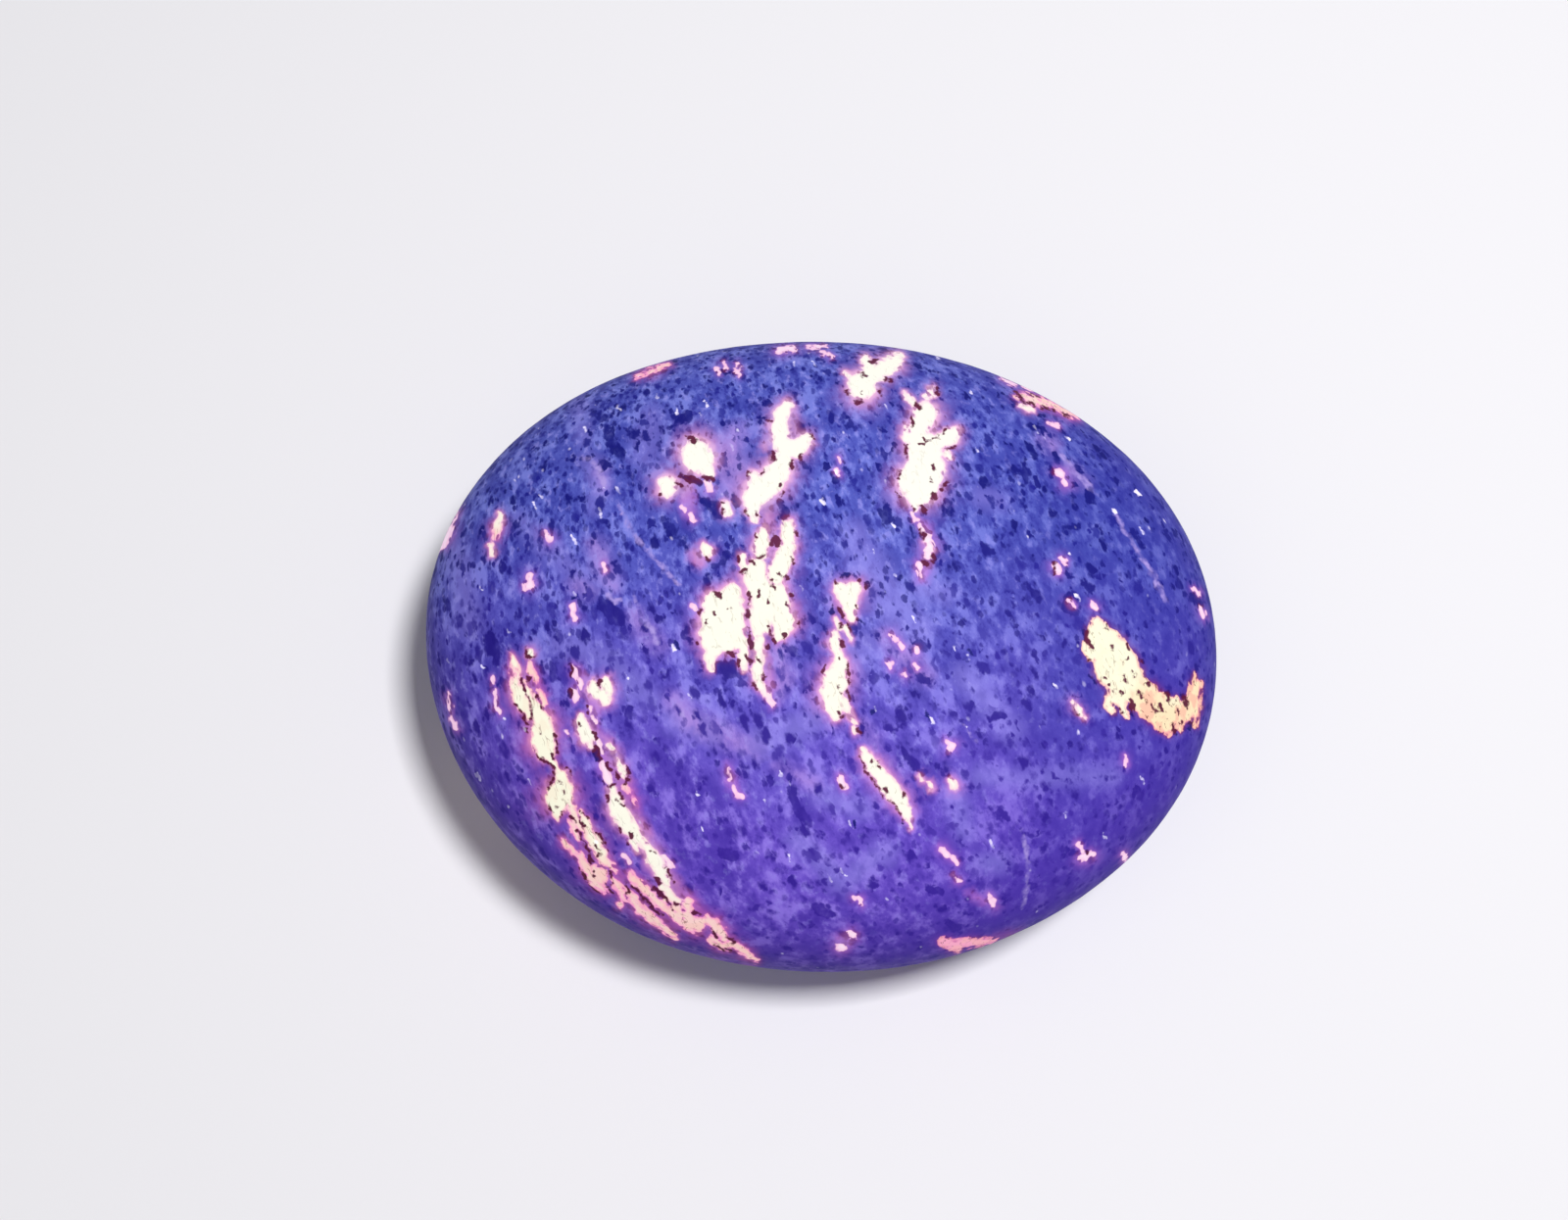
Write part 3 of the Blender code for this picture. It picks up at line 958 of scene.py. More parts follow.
MAUVE_HAZES = {
    "upper left": (((608, 556, 9), (618, 580, 10), (626, 598, 6)), ((648, 628, 8), (660, 645, 10), (672, 660, 8))),
    "left": (((588, 598, 7), (600, 604, 7)), ((612, 478, 6), (616, 496, 6))),
    "between the upper patches": (((752, 440, 8), (745, 470, 11), (748, 500, 8)),),
    "upper right": (((1066, 448, 7), (1074, 456, 7)), ((1090, 478, 5), (1106, 492, 5))),
    "below the centre": (((686, 712, 8), (705, 735, 11), (740, 752, 11), (770, 765, 7)), ((795, 782, 6), (830, 800, 5))),
    "centre, right": (((794, 662, 8), (802, 690, 9), (792, 712, 6)),),
    "heart, right": (((905, 650, 8), (925, 672, 11), (945, 690, 8)),),
    "below the middle streak": (((882, 742, 5), (890, 756, 6)),),
}
# Darker ground. The rim entries are painted shade, darkening the rim where light falls at a grazing angle; the others
# are darker rock.
DUSKY_HAZES = {
    "right": (((1128, 545, 10), (1160, 590, 26), (1178, 640, 30), (1205, 660, 26), (1180, 690, 12)),),
    "lower left rim": (((460, 680, 8), (472, 740, 10), (506, 806, 10), (560, 868, 8)),),
    "between the streaks": (((585, 770, 8), (606, 820, 9), (630, 870, 8), (645, 890, 6)), ((600, 850, 6), (690, 945, 8))),
    "right rim": (((1110, 470, 6), (1165, 530, 8), (1215, 620, 10), (1228, 680, 10), (1215, 770, 12)),),
    "lower right rim": (((1205, 790, 10), (1165, 840, 12), (1110, 895, 12), (1050, 935, 8)),),
    "upper right": (((1040, 470, 12), (1052, 492, 10)), ((1100, 480, 8), (1112, 512, 12))),
    "left of the centre": (((690, 575, 10), (705, 640, 10), (712, 672, 8)), ((612, 612, 12), (630, 632, 10))),
    "left": (((500, 650, 12), (508, 690, 10)), ((556, 668, 10), (575, 690, 12))),
    "upper left": (((612, 428, 14), (622, 456, 12)), ((682, 540, 12), (726, 520, 10)), ((694, 428, 12), (672, 440, 8))),
    "lower left of the centre": (((680, 770, 14), (740, 850, 20), (745, 900, 16)), ((686, 810, 12), (704, 862, 16))),
    "lower middle": (((940, 782, 14), (925, 762, 10)), ((818, 822, 14), (826, 848, 10)), ((850, 932, 10), (836, 930, 10))),
}
# Blushes add to the halo: more of the patches' scattered pink glow, painted into the ground's colour
GLOW_BLUSHES = {
    "round patch, below": (((700, 500, 12), (703, 522, 9)), ((713, 572, 9), (712, 566, 10))),
    "forked patch, web": (((810, 425, 7), (812, 440, 7)), ((782, 455, 7), (785, 440, 5))),
    "forked patch, foot": (((785, 520, 8), (783, 532, 8)),),
    "centre, web": (((790, 540, 6), (788, 575, 5)), ((768, 665, 6), (768, 690, 6)), ((782, 670, 5), (786, 700, 7))),
    "spruce, tail": (((930, 524, 4), (946, 540, 7), (946, 570, 9), (940, 590, 7)),),
    "inner strand": (
        ((593, 692, 9), (590, 708, 7)),
        ((612, 706, 13), (604, 730, 8), (606, 745, 7), (622, 768, 13), (630, 790, 13), (640, 812, 12)),
        ((640, 812, 12), (646, 838, 12), (664, 868, 12), (684, 898, 9), (700, 918, 9), (722, 938, 8), (745, 958, 6)),
    ),
    "between the streaks": (((596, 862, 9), (632, 896, 9), (664, 918, 9), (690, 945, 7)), ((535, 683, 7), (547, 702, 7))),
    "lower crumbs": (((863, 960, 10), (860, 962, 10)), ((745, 796, 7), (752, 808, 5))),
    "bottom rim": (((1018, 956, 5), (1045, 950, 3)), ((990, 912, 4), (1005, 920, 4))),
}
print(len(MILKY_HAZES), "milky hazes,", len(MAUVE_HAZES), "mauve,", len(DUSKY_HAZES), "dusky,", len(GLOW_BLUSHES), "blushes")

# %% [markdown]
# ## Through the stone
#
# The chains say what the camera sees, but a patch doesn't end where the stone turns away from it.
# Mineral veins are sheets that run through the rock at a slant, and they come out again lower down
# and on the underside, somewhere else and in another shape. So a point that the camera doesn't see
# borrows its marking from a place beside its own: the more rock lies in front of it, the further
# the place slides along the veins' dip, and the more it wanders. At the rim, where no rock lies in
# front, both sides meet without a seam.

# %% Slide hidden points along the dip
DIP = np.array((9.0, -6.5))
DIP_WANDER = 5.0
WANDER_SPACING = 7.0 * MM
CRINKLE = 2.6
CRINKLE_SPACING = 0.45 * MM
SEEN_TOLERANCE = 0.05
# noise_vector takes its offsets from a random state that starts with the clock, so it is seeded
NOISE_SEED = 5
noise.seed_set(NOISE_SEED)
seen_surface = BVHTree.FromBMesh(surface)


def rock_in_front(point):
    """Millimetres of rock between the side that the camera sees and this point."""
    towards = point - EYE
    hit = seen_surface.ray_cast(EYE, towards.normalized())[0]
    if hit is None:
        return 0.0
    return max(0.0, (towards.length - (hit - EYE).length) / MM - SEEN_TOLERANCE)


def marking_places(points):
    """The picture places where points, one Vector each, read their markings."""
    rock = np.array([rock_in_front(point) for point in points])
    wander = np.array([noise.noise_vector(point / WANDER_SPACING)[:2] for point in points])
    crinkle = np.array([noise.noise_vector(point / CRINKLE_SPACING)[:2] for point in points])
    places = picture_places(np.array(points)) + CRINKLE * crinkle
    return places + rock[:, None] * (DIP + DIP_WANDER * wander), rock


places, rock = marking_places([vert.co.copy() for vert in surface.verts])
print("hidden points:", int((rock > 0).sum()), "of", len(rock), "- most rock in front:", round(rock.max(), 1), "mm")

# %% Depth inside a chain
CHAIN_REACH = 4.0


def chain_depth(places, chain):
    """Depth in mm inside a chain of circles, with its half-width in mm, for the places near it."""
    circles = np.array(chain, dtype=float)
    margin = circles[:, 2].max() + CHAIN_REACH * PIXELS_PER_MM
    low = circles[:, :2].min(axis=0) - margin
    high = circles[:, :2].max(axis=0) + margin
    near = np.flatnonzero(((places > low) & (places < high)).all(axis=1))
    depth = np.full(len(near), -CHAIN_REACH)
    width = np.zeros(len(near))
    for (x0, y0, r0), (x1, y1, r1) in zip(circles[:-1], circles[1:]):
        start = np.array((x0, y0))
        step = np.array((x1, y1)) - start
        length = math.hypot(*step)
        offset = places[near] - start
        along = offset @ step / length
        across = np.abs(offset[:, 0] * step[1] - offset[:, 1] * step[0]) / length
        taper = min(0.9, max(-0.9, (r1 - r0) / length))
        share = np.clip((along + across * taper / math.sqrt(1 - taper**2)) / length, 0.0, 1.0)
        radius = r0 + (r1 - r0) * share
        inside = (radius - np.hypot(along - share * length, across)) / PIXELS_PER_MM
        better = inside > depth
        depth[better] = inside[better]
        width[better] = radius[better] / PIXELS_PER_MM
    return near, depth, width


def deepest(places, *markings):
    """Depth in mm inside the nearest chain of several groups of markings."""
    depth = np.full(len(places), -CHAIN_REACH)
    for groups in markings:
        for chains in groups.values():
            for chain in chains:
                near, inside, _ = chain_depth(places, chain)
                depth[near] = np.maximum(depth[near], inside)
    return depth


GLOWING_MARKINGS = (CREAM_UPPER, CREAM_MIDDLE, RIGHT_STRAW, RIGHT_PEACH, SALMON, STREAK_STRAW, STREAK_PEACH, ROSE)
glowing = deepest(places, *GLOWING_MARKINGS)
print("points that glow before refining:", int((glowing > 0).sum()))

# %% [markdown]
# ## Finer mesh along the markings
#
# A depth is stored on points only, and the material sees it blended across each triangle, so a
# grain smaller than a triangle would be lost. A finer mesh everywhere would be heavy, and most of
# it wasted. Only the edges near a marking's outline are split, twice where it is crisp, which is
# how a painter too would spend the fine brush only where two colours meet.

# %% Refine along outlines
NEAR_SHARE = 0.66


def refine_along_outlines(surface, markings, hidden_too):
    """Splits the edges whose ends lie within a share of their own length of an outline."""
    points = [vert.co.copy() for vert in surface.verts]
    places, rock = marking_places(points)
    edge_depth = np.abs(deepest(places, *markings))
    surface.verts.index_update()
    chosen = []
    for edge in surface.edges:
        first, second = edge.verts[0].index, edge.verts[1].index
        if not hidden_too and rock[first] > 0 and rock[second] > 0:
            continue
        if min(edge_depth[first], edge_depth[second]) * MM < NEAR_SHARE * edge.calc_length():
            chosen.append(edge)
    bmesh.ops.subdivide_edges(surface, edges=chosen, cuts=1, smooth=1.0, use_grid_fill=True)
    wide = [face for face in surface.faces if len(face.verts) > 3]
    bmesh.ops.triangulate(surface, faces=wide, quad_method="SHORT_EDGE", ngon_method="BEAUTY")
    surface.normal_update()
    return len(chosen)


CRISP_MARKINGS = GLOWING_MARKINGS + (GLINTS, CUTTING_GRAINS, THREADS)
FINE_MARKINGS = (CUTTING_GRAINS, GLINTS, ROSE)
split = refine_along_outlines(surface, CRISP_MARKINGS, hidden_too=True)
print("first pass split", split, "edges, now", len(surface.faces), "triangles")
split = refine_along_outlines(surface, FINE_MARKINGS, hidden_too=False)
print("second pass split", split, "edges, now", len(surface.faces), "triangles")

# %% Settle folded triangles
FOLD_LIMIT = 0.5
FOLD_PASSES = 8
LEAST_FILL = 0.10


def drop_flaps(surface):
    """Deletes pairs of triangles that lie back to back on the same three points."""
    surface.verts.index_update()
    seen = {}
    doubled = []
    for face in surface.faces:
        corners = frozenset(vert.index for vert in face.verts)
        if corners in seen:
            doubled += [seen[corners], face]
        seen[corners] = face
    bmesh.ops.delete(surface, geom=doubled, context="FACES")
    surface.normal_update()
    return len(doubled)


def is_folded(face):
    """Whether a triangle turned over, or nearly closed up, when its edges were split."""
    outward = sum((vert.normal for vert in face.verts), Vector())
    longest = max(edge.calc_length() for edge in face.edges)
    return face.normal.dot(outward.normalized()) < FOLD_LIMIT or face.calc_area() < LEAST_FILL * longest**2 / 2


def settle_folds(surface):
    """Moves the points of folded triangles between their neighbours, and counts those left."""
    for _ in range(FOLD_PASSES):
        folded = [face for face in surface.faces if face.calc_center_median().z > MM and is_folded(face)]
        surface.verts.index_update()
        corners = sorted({vert for face in folded for vert in face.verts}, key=lambda vert: vert.index)
        if not corners:
            break
        bmesh.ops.smooth_vert(
            surface, verts=corners, factor=0.5, use_axis_x=True, use_axis_y=True, use_axis_z=True
        )
        surface.normal_update()
    return len(folded)


print("doubled triangles dropped:", drop_flaps(surface))
print("folded triangles left:", settle_folds(surface))

# %% [markdown]
# ## Fine relief
#
# A tumbled stone isn't as even as glass. Hard grains stand a little, soft ones wear a little, and
# a few pluck out and leave shallow pits. The steps are some hundredths of a millimetre, too small
# to feel, but they make the sheen uneven. They could be a bump map alone. Here the broader part is
# real geometry, always worn inward so that the stone never outgrows its packed size, and only the
# finest grain is left to the material's bump.

# %% Wear the surface
BROAD_WEAR = 0.035 * MM
BROAD_WEAR_SPACING = 3.2 * MM
GRAIN_WEAR = 0.012 * MM
GRAIN_WEAR_SPACING = 1.1 * MM
PIT_SPACING = 2.4 * MM
PIT_SHARE = 0.16
PIT_DEPTH = 0.045 * MM
LEAST_WEAR = 0.020 * MM


def wear_at(point):
    """How far the surface is worn down at a point."""
    broad = 0.5 + 0.5 * noise.noise(point / BROAD_WEAR_SPACING)
    fine = 0.5 + 0.5 * noise.noise(point / GRAIN_WEAR_SPACING + Vector((9.1, 3.7, 5.3)))
    nearest = noise.voronoi(point / PIT_SPACING)[0][0]
    pit = max(0.0, 1.0 - nearest / PIT_SHARE) ** 2
    return LEAST_WEAR + max(0.0, BROAD_WEAR * broad + GRAIN_WEAR * fine + PIT_DEPTH * pit)


def wear_surface(surface):
    """Moves each point inward by its wear, and keeps the rest spot flat on the floor."""
    worn = [vert.co - vert.normal * wear_at(vert.co) for vert in surface.verts]
    for vert, place in zip(surface.verts, worn):
        resting = vert.co.z < 0.02 * MM
        vert.co = place
        if resting or place.z < 0.0:
            vert.co.z = 0.0


wear_surface(surface)
surface.normal_update()
print("lowest point after wear:", min(vert.co.z for vert in surface.verts) / MM, "mm")

# %% Make the palm stone
def make_palm_stone(surface):
    mesh = bpy.data.meshes.new("palm_stone")
    surface.to_mesh(mesh)
    if "custom_normal" in mesh.attributes:
        mesh.attributes.remove(mesh.attributes["custom_normal"])
    mesh.shade_smooth()
    stone = bpy.data.objects.new("palm_stone", mesh)
    bpy.context.scene.collection.objects.link(stone)
    return stone


palm_stone = make_palm_stone(surface)
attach(palm_stone, "root")
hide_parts("stone")
print("palm stone:", len(palm_stone.data.polygons), "triangles")

# %% [markdown]
# ## Glow and colour
#
# Under ultraviolet light the sodalite glows cream where it is thick and orange where other
# minerals tint it, and the rock around a glowing patch scatters some of that light back as a pink
# halo. Each kind of patch therefore has a core colour, a halo colour, and a reach for its halo,
# which is wider around a wide patch. Colours are written as they look, from 0 to 255, and turned
# into the linear values that Blender mixes in.

# %% Patch colours
def paint(red, green, blue):
    """A colour as it looks, 0 to 255, as linear red, green and blue."""
    return tuple(
        (c / 12.92 if c <= 0.04045 else ((c + 0.055) / 1.055) ** 2.4) for c in (red / 255, green / 255, blue / 255)
    )


PATCH_KINDS = (
    # chains, core colour, edge colour, halo colour, halo strength, halo reach per half-width,
    # stringiness
    (CREAM_UPPER, paint(255, 254, 242), paint(255, 220, 236), paint(208, 140, 190), 1.00, 0.60, 0.15),
    (CREAM_MIDDLE, paint(255, 254, 238), paint(255, 216, 228), paint(208, 128, 184), 0.95, 0.58, 0.25),
    (RIGHT_STRAW, paint(255, 253, 224), paint(255, 190, 188), paint(116, 34, 84), 0.74, 0.16, 0.45),
    (RIGHT_PEACH, paint(255, 232, 192), paint(252, 156, 168), paint(126, 40, 88), 0.74, 0.18, 1.00),
    (SALMON, paint(253, 172, 204), paint(226, 124, 180), paint(140, 60, 160), 0.60, 0.30, 0.70),
    (STREAK_STRAW, paint(255, 253, 230), paint(255, 186, 208), paint(196, 104, 164), 0.90, 0.75, 0.50),
    (STREAK_PEACH, paint(255, 214, 210), paint(255, 148, 212), paint(172, 80, 160), 0.85, 0.90, 0.60),
    (ROSE, paint(255, 226, 248), paint(250, 192, 232), paint(176, 104, 192), 0.60, 0.90, 0.00),
)
HALO_START = 0.12
HALO_WIDEST = 1.0
HALO_FALL = 1.3
COLOUR_BLEND = 0.30
GLOW_BLUSH_STRENGTH = 0.65
GLOW_BLUSH_SOFTNESS = 0.40
MILK_SOFTNESS = 0.90
MAUVE_SOFTNESS = 0.80
DUSK_SOFTNESS = 1.20
print(len(PATCH_KINDS), "kinds of patch")

# %% Store the markings on the mesh
def soft_mask(depth, softness):
    """0 outside and 1 inside, blended over a softness in mm on both sides of the outline."""
    share = np.clip(0.5 + 0.5 * depth / softness, 0.0, 1.0)
    return share * share * (3.0 - 2.0 * share)


def glow_fields(places):
    """For each place: depth inside the glow, halo strength, and the three colours and the
    stringiness of the patches around it, in one row of ten numbers."""
    count = len(places)
    depth = np.full(count, -CHAIN_REACH)
    halo = np.zeros(count)
    weights = np.full(count, 1e-9)
    looks = np.zeros((count, 10))
    for groups, core, edge, rim, strength, spread, stringy in PATCH_KINDS:
        look = np.array((*core, *edge, *rim, stringy))
        for chains in groups.values():
            for chain in chains:
                near, inside, width = chain_depth(places, chain)
                depth[near] = np.maximum(depth[near], inside)
                reach = HALO_START + spread * np.minimum(width, HALO_WIDEST)
                away = np.maximum(-inside, 0.0) / reach
                halo[near] = np.maximum(halo[near], strength * np.exp(-(away**HALO_FALL)))
                weight = np.exp(inside / COLOUR_BLEND)
                weights[near] += weight
                looks[near] += np.outer(weight, look)
    return depth, halo, looks / weights[:, None]


def store_number(mesh, name, values):
    mesh.attributes.new(name, "FLOAT", "POINT").data.foreach_set("value", values.astype(np.float32))


def store_colour(mesh, name, colours):
    opaque = np.concatenate((colours, np.ones((len(colours), 1))), axis=1)
    mesh.attributes.new(name, "FLOAT_COLOR", "POINT").data.foreach_set("color", opaque.astype(np.float32).ravel())


def store_markings(mesh):
    places, rock = marking_places([vert.co.copy() for vert in mesh.vertices])
    depth, halo, looks = glow_fields(places)
    # Painted glow: blushes join the halo
    glow_blush = GLOW_BLUSH_STRENGTH * soft_mask(deepest(places, GLOW_BLUSHES), GLOW_BLUSH_SOFTNESS)
    store_number(mesh, "glow_depth", depth)
    store_number(mesh, "halo", np.maximum(halo, glow_blush))
    store_colour(mesh, "core_colour", looks[:, 0:3])
    store_colour(mesh, "edge_colour", looks[:, 3:6])
    store_colour(mesh, "rim_colour", looks[:, 6:9])
    store_number(mesh, "strings", looks[:, 9])
    store_number(mesh, "cut_depth", deepest(places, CUTTING_GRAINS))
    store_number(mesh, "blot_depth", deepest(places, LARGE_GRAINS))
    store_number(mesh, "glint_depth", deepest(places, GLINTS))
    store_number(mesh, "thread_depth", deepest(places, THREADS))
    store_number(mesh, "milk", soft_mask(deepest(places, MILKY_HAZES), MILK_SOFTNESS))
    store_number(mesh, "mauve", soft_mask(deepest(places, MAUVE_HAZES), MAUVE_SOFTNESS))
    store_number(mesh, "dusk", soft_mask(deepest(places, DUSKY_HAZES), DUSK_SOFTNESS))


store_markings(palm_stone.data)
surface.free()
print("attributes:", [attribute.name for attribute in palm_stone.data.attributes if not attribute.is_internal])

# %% [markdown]
# ## The rock itself
#
# Between the glowing patches the stone is a blue-violet ground, cloudy with feldspar, and peppered
# with dark grains that lie roughly along one direction. That pattern fills the whole stone, so it
# is made in three dimensions from Object coordinates, and a slice at any angle looks right. Two
# small node groups serve all of it. One turns a stored depth into a mask with a crystalline,
# wandering edge. The other scatters grains of any size through the rock.

# %% Node helpers
def add_node(tree, kind, inputs=None, **settings):
    """A new node with its settings, whose inputs are given as values or as sockets to link."""
    made = tree.nodes.new(kind)
    for name, value in settings.items():
        setattr(made, name, value)
    for name, value in (inputs or {}).items():
        if isinstance(value, bpy.types.NodeSocket):
            tree.links.new(value, made.inputs[name])
        else:
            made.inputs[name].default_value = value
    return made


def calc(tree, operation, first, second=0.0, third=0.0, clamp=False):
    """One Math node, as its output socket."""
    made = add_node(tree, "ShaderNodeMath", {0: first, 1: second, 2: third}, operation=operation)
    made.use_clamp = clamp
    return made.outputs[0]


def ramp(tree, value, low, high, to_low=0.0, to_high=1.0):
    """A Map Range node with smooth ends, as its output socket."""
    inputs = {"Value": value, "From Min": low, "From Max": high, "To Min": to_low, "To Max": to_high}
    return add_node(tree, "ShaderNodeMapRange", inputs, interpolation_type="SMOOTHSTEP").outputs["Result"]


def cloud(tree, vector, scale, detail=2.0, rough=0.5):
    """A Noise node's value; scale is in waves per millimetre."""
    inputs = {"Vector": vector, "Scale": scale, "Detail": detail, "Roughness": rough}
    return add_node(tree, "ShaderNodeTexNoise", inputs).outputs["Fac"]


def blend(tree, share, below, above, mode="MIX"):
    """A Mix node for two colours, as its output socket."""
    made = tree.nodes.new("ShaderNodeMix")
    made.data_type = "RGBA"
    made.blend_type = mode
    for socket, value in ((made.inputs[0], share), (made.inputs[6], below), (made.inputs[7], above)):
        if isinstance(value, bpy.types.NodeSocket):
            tree.links.new(value, socket)
        elif socket.type == "RGBA" and len(value) == 3:
            socket.default_value = (*value, 1.0)
        else:
            socket.default_value = value
    return made.outputs[2]


def new_group(name, inputs, outputs):
    """A node group with float or vector inputs and float outputs, and its two end nodes."""
    group = bpy.data.node_groups.new(name, "ShaderNodeTree")
    for socket_name, socket_type, default in inputs:
        socket = group.interface.new_socket(socket_name, in_out="INPUT", socket_type=socket_type)
        if default is not None:
            socket.default_value = default
    for socket_name in outputs:
        group.interface.new_socket(socket_name, in_out="OUTPUT", socket_type="NodeSocketFloat")
    return group, group.nodes.new("NodeGroupInput").outputs, group.nodes.new("NodeGroupOutput").inputs


print("node helpers ready")

# %% Group: crystal edge
def make_crystal_edge():
    """A mask from a stored depth, whose outline wanders and breaks along small crystals."""
    group, given, result = new_group(
        "crystal_edge",
        (
            ("Vector", "NodeSocketVector", None),
            ("Depth", "NodeSocketFloat", 0.0),
            ("Wander", "NodeSocketFloat", 0.10),
            ("Scale", "NodeSocketFloat", 3.0),
            ("Softness", "NodeSocketFloat", 0.03),
        ),
        ("Mask", "Depth"),
    )
    wave = add_node(group, "ShaderNodeTexNoise", {"Vector": given["Vector"], "Scale": given["Scale"], "Detail": 3.0})
    centred = calc(group, "SUBTRACT", wave.outputs["Fac"], 0.5)
    depth = calc(group, "MULTIPLY_ADD", centred, given["Wander"], given["Depth"])
    outside = calc(group, "MULTIPLY", given["Softness"], -1.0)
    group.links.new(ramp(group, depth, outside, given["Softness"]), result["Mask"])
    group.links.new(depth, result["Depth"])
    return group


crystal_edge = make_crystal_edge()
print("group:", crystal_edge.name)

# %% Group: scattered grains
def make_scattered_grains():
    """Grains of a given size strewn through the rock, some of the cells empty, as a soft mask."""
    group, given, result = new_group(
        "scattered_grains",
        (
            ("Vector", "NodeSocketVector", None),
            ("Spacing", "NodeSocketFloat", 1.0),
            ("Share", "NodeSocketFloat", 0.6),
            ("Radius", "NodeSocketFloat", 0.35),
            ("Softness", "NodeSocketFloat", 0.10),
            ("Ragged", "NodeSocketFloat", 0.25),
        ),
        ("Mask", "Tone"),
    )
    scale = calc(group, "DIVIDE", 1.0, given["Spacing"])
    cells_place = add_node(group, "ShaderNodeVectorMath", {0: given["Vector"], 3: scale}, operation="SCALE")
    frayed = add_node(
        group, "ShaderNodeTexNoise", {"Vector": cells_place.outputs[0], "Scale": 1.9, "Detail": 3.0}
    ).outputs["Color"]
    centred = add_node(group, "ShaderNodeVectorMath", {0: frayed, 1: (0.5, 0.5, 0.5)}, operation="SUBTRACT")
    shift = add_node(group, "ShaderNodeVectorMath", {0: centred.outputs[0], 3: given["Ragged"]}, operation="SCALE")
    place = add_node(group, "ShaderNodeVectorMath", {0: cells_place.outputs[0], 1: shift.outputs[0]}, operation="ADD")
    cells = add_node(group, "ShaderNodeTexVoronoi", {"Vector": place.outputs[0], "Scale": 1.0})
    chance = add_node(group, "ShaderNodeSeparateColor", {"Color": cells.outputs["Color"]}).outputs
    present = calc(group, "LESS_THAN", chance["Red"], given["Share"])
    size = calc(group, "MULTIPLY_ADD", chance["Green"], 0.7, 0.6)
    radius = calc(group, "MULTIPLY", calc(group, "MULTIPLY", given["Radius"], size), present)
    inner = calc(group, "SUBTRACT", radius, given["Softness"])
    outer = calc(group, "ADD", radius, given["Softness"])
    mask = calc(group, "SUBTRACT", 1.0, ramp(group, cells.outputs["Distance"], inner, outer))
    group.links.new(calc(group, "MULTIPLY", mask, present), result["Mask"])
    group.links.new(chance["Blue"], result["Tone"])
    return group


scattered_grains = make_scattered_grains()
print("group:", scattered_grains.name)


# %% Place the groups in a material
def place_group(tree, group, inputs):
    made = tree.nodes.new("ShaderNodeGroup")
    made.node_tree = group
    for name, value in inputs.items():
        if isinstance(value, bpy.types.NodeSocket):
            tree.links.new(value, made.inputs[name])
        else:
            made.inputs[name].default_value = value
    return made.outputs


def stored(tree, name):
    """A number that was stored on the mesh."""
    return add_node(tree, "ShaderNodeAttribute", attribute_name=name).outputs["Fac"]


def stored_colour(tree, name):
    return add_node(tree, "ShaderNodeAttribute", attribute_name=name).outputs["Color"]


def rock_vector(tree):
    """Object coordinates in millimetres."""
    coordinates = tree.nodes.new("ShaderNodeTexCoord").outputs["Object"]
    return add_node(
        tree, "ShaderNodeMapping", {"Vector": coordinates, "Scale": (1 / MM, 1 / MM, 1 / MM)}
    ).outputs["Vector"]


GRAIN_LEAN_LEFT = math.radians(78.0)
GRAIN_LEAN_RIGHT = math.radians(60.0)
GRAIN_STRETCH = 1.55


def grain_vector(tree, vector):
    """The rock's coordinates turned and squeezed, so that grains come out long and leaning."""
    across = add_node(tree, "ShaderNodeSeparateXYZ", {"Vector": vector}).outputs["X"]
    lean = add_node(
        tree,
        "ShaderNodeMapRange",
        {
            "Value": across,
            "From Min": -30.0,
            "From Max": 30.0,
            "To Min": GRAIN_LEAN_LEFT,
            "To Max": GRAIN_LEAN_RIGHT,
        },
    ).outputs["Result"]
    turned = add_node(tree, "ShaderNodeVectorRotate", {"Vector": vector, "Angle": lean}, rotation_type="Z_AXIS")
    squeeze = (1 / GRAIN_STRETCH, 1.0, 1.0)
    return add_node(tree, "ShaderNodeMapping", {"Vector": turned.outputs[0], "Scale": squeeze}).outputs["Vector"]


print("grains lean", round(math.degrees(GRAIN_LEAN_LEFT)), "degrees at the left end,", end=" ")
print(round(math.degrees(GRAIN_LEAN_RIGHT)), "at the right end")

# %% Rock colours
# Each pair is for the near side, which is more violet, and the far side, which is bluer; the near
# side's violet is painted light, a cast of coloured light falling on that side
GROUND = (paint(104, 76, 195), paint(78, 86, 183))
FELDSPAR_MILK = (paint(142, 116, 224), paint(118, 126, 216))
DUSK = (paint(66, 42, 160), paint(46, 48, 150))
PALE_GRAIN = (paint(66, 40, 160), paint(26, 26, 136))
NIGHT_GRAIN = (paint(46, 22, 140), paint(6, 8, 108))
# Painted shade: the ground turns to this darker violet towards the rim, where light falls at a grazing angle
RIM_SHADE_VIOLET = paint(62, 34, 152)
HAZE_MAUVE = paint(134, 124, 214)
FLECK_PALE = paint(150, 144, 228)
ROSY_MAUVE = paint(172, 134, 212)
# Painted glow light: the next two are the maroon that dark grains turn inside a halo, in the patches' scattered light
HALO_LIT_GRAIN_MAROON = paint(96, 12, 70)
HALO_LIT_CUT_MAROON = paint(88, 14, 52)
THREAD_PALE = paint(170, 150, 220)
# Painted highlight: the colour of the glints
GLINT_ICE = paint(226, 218, 252)
RIM_SHADE_SHARE = 0.80
RIM_SHADE_TILT_X = -0.05
RIM_SHADE_TILT_Y = 0.05
RIGHT_SHARE = 0.62
print("ground on the near and far side, linear:", [[round(c, 3) for c in colour] for colour in GROUND])

# %% Strings along the grain
STRING_BROWN = paint(104, 34, 44)
TAWNY = paint(252, 190, 168)
PATCH_ALBEDO = 0.32
GLOW_STRENGTH = 0.66
HALO_GLOW = 0.24
# Painted highlight: the glints' own light
GLINT_GLOW = 0.30
BLOOM_SHARE = 0.24


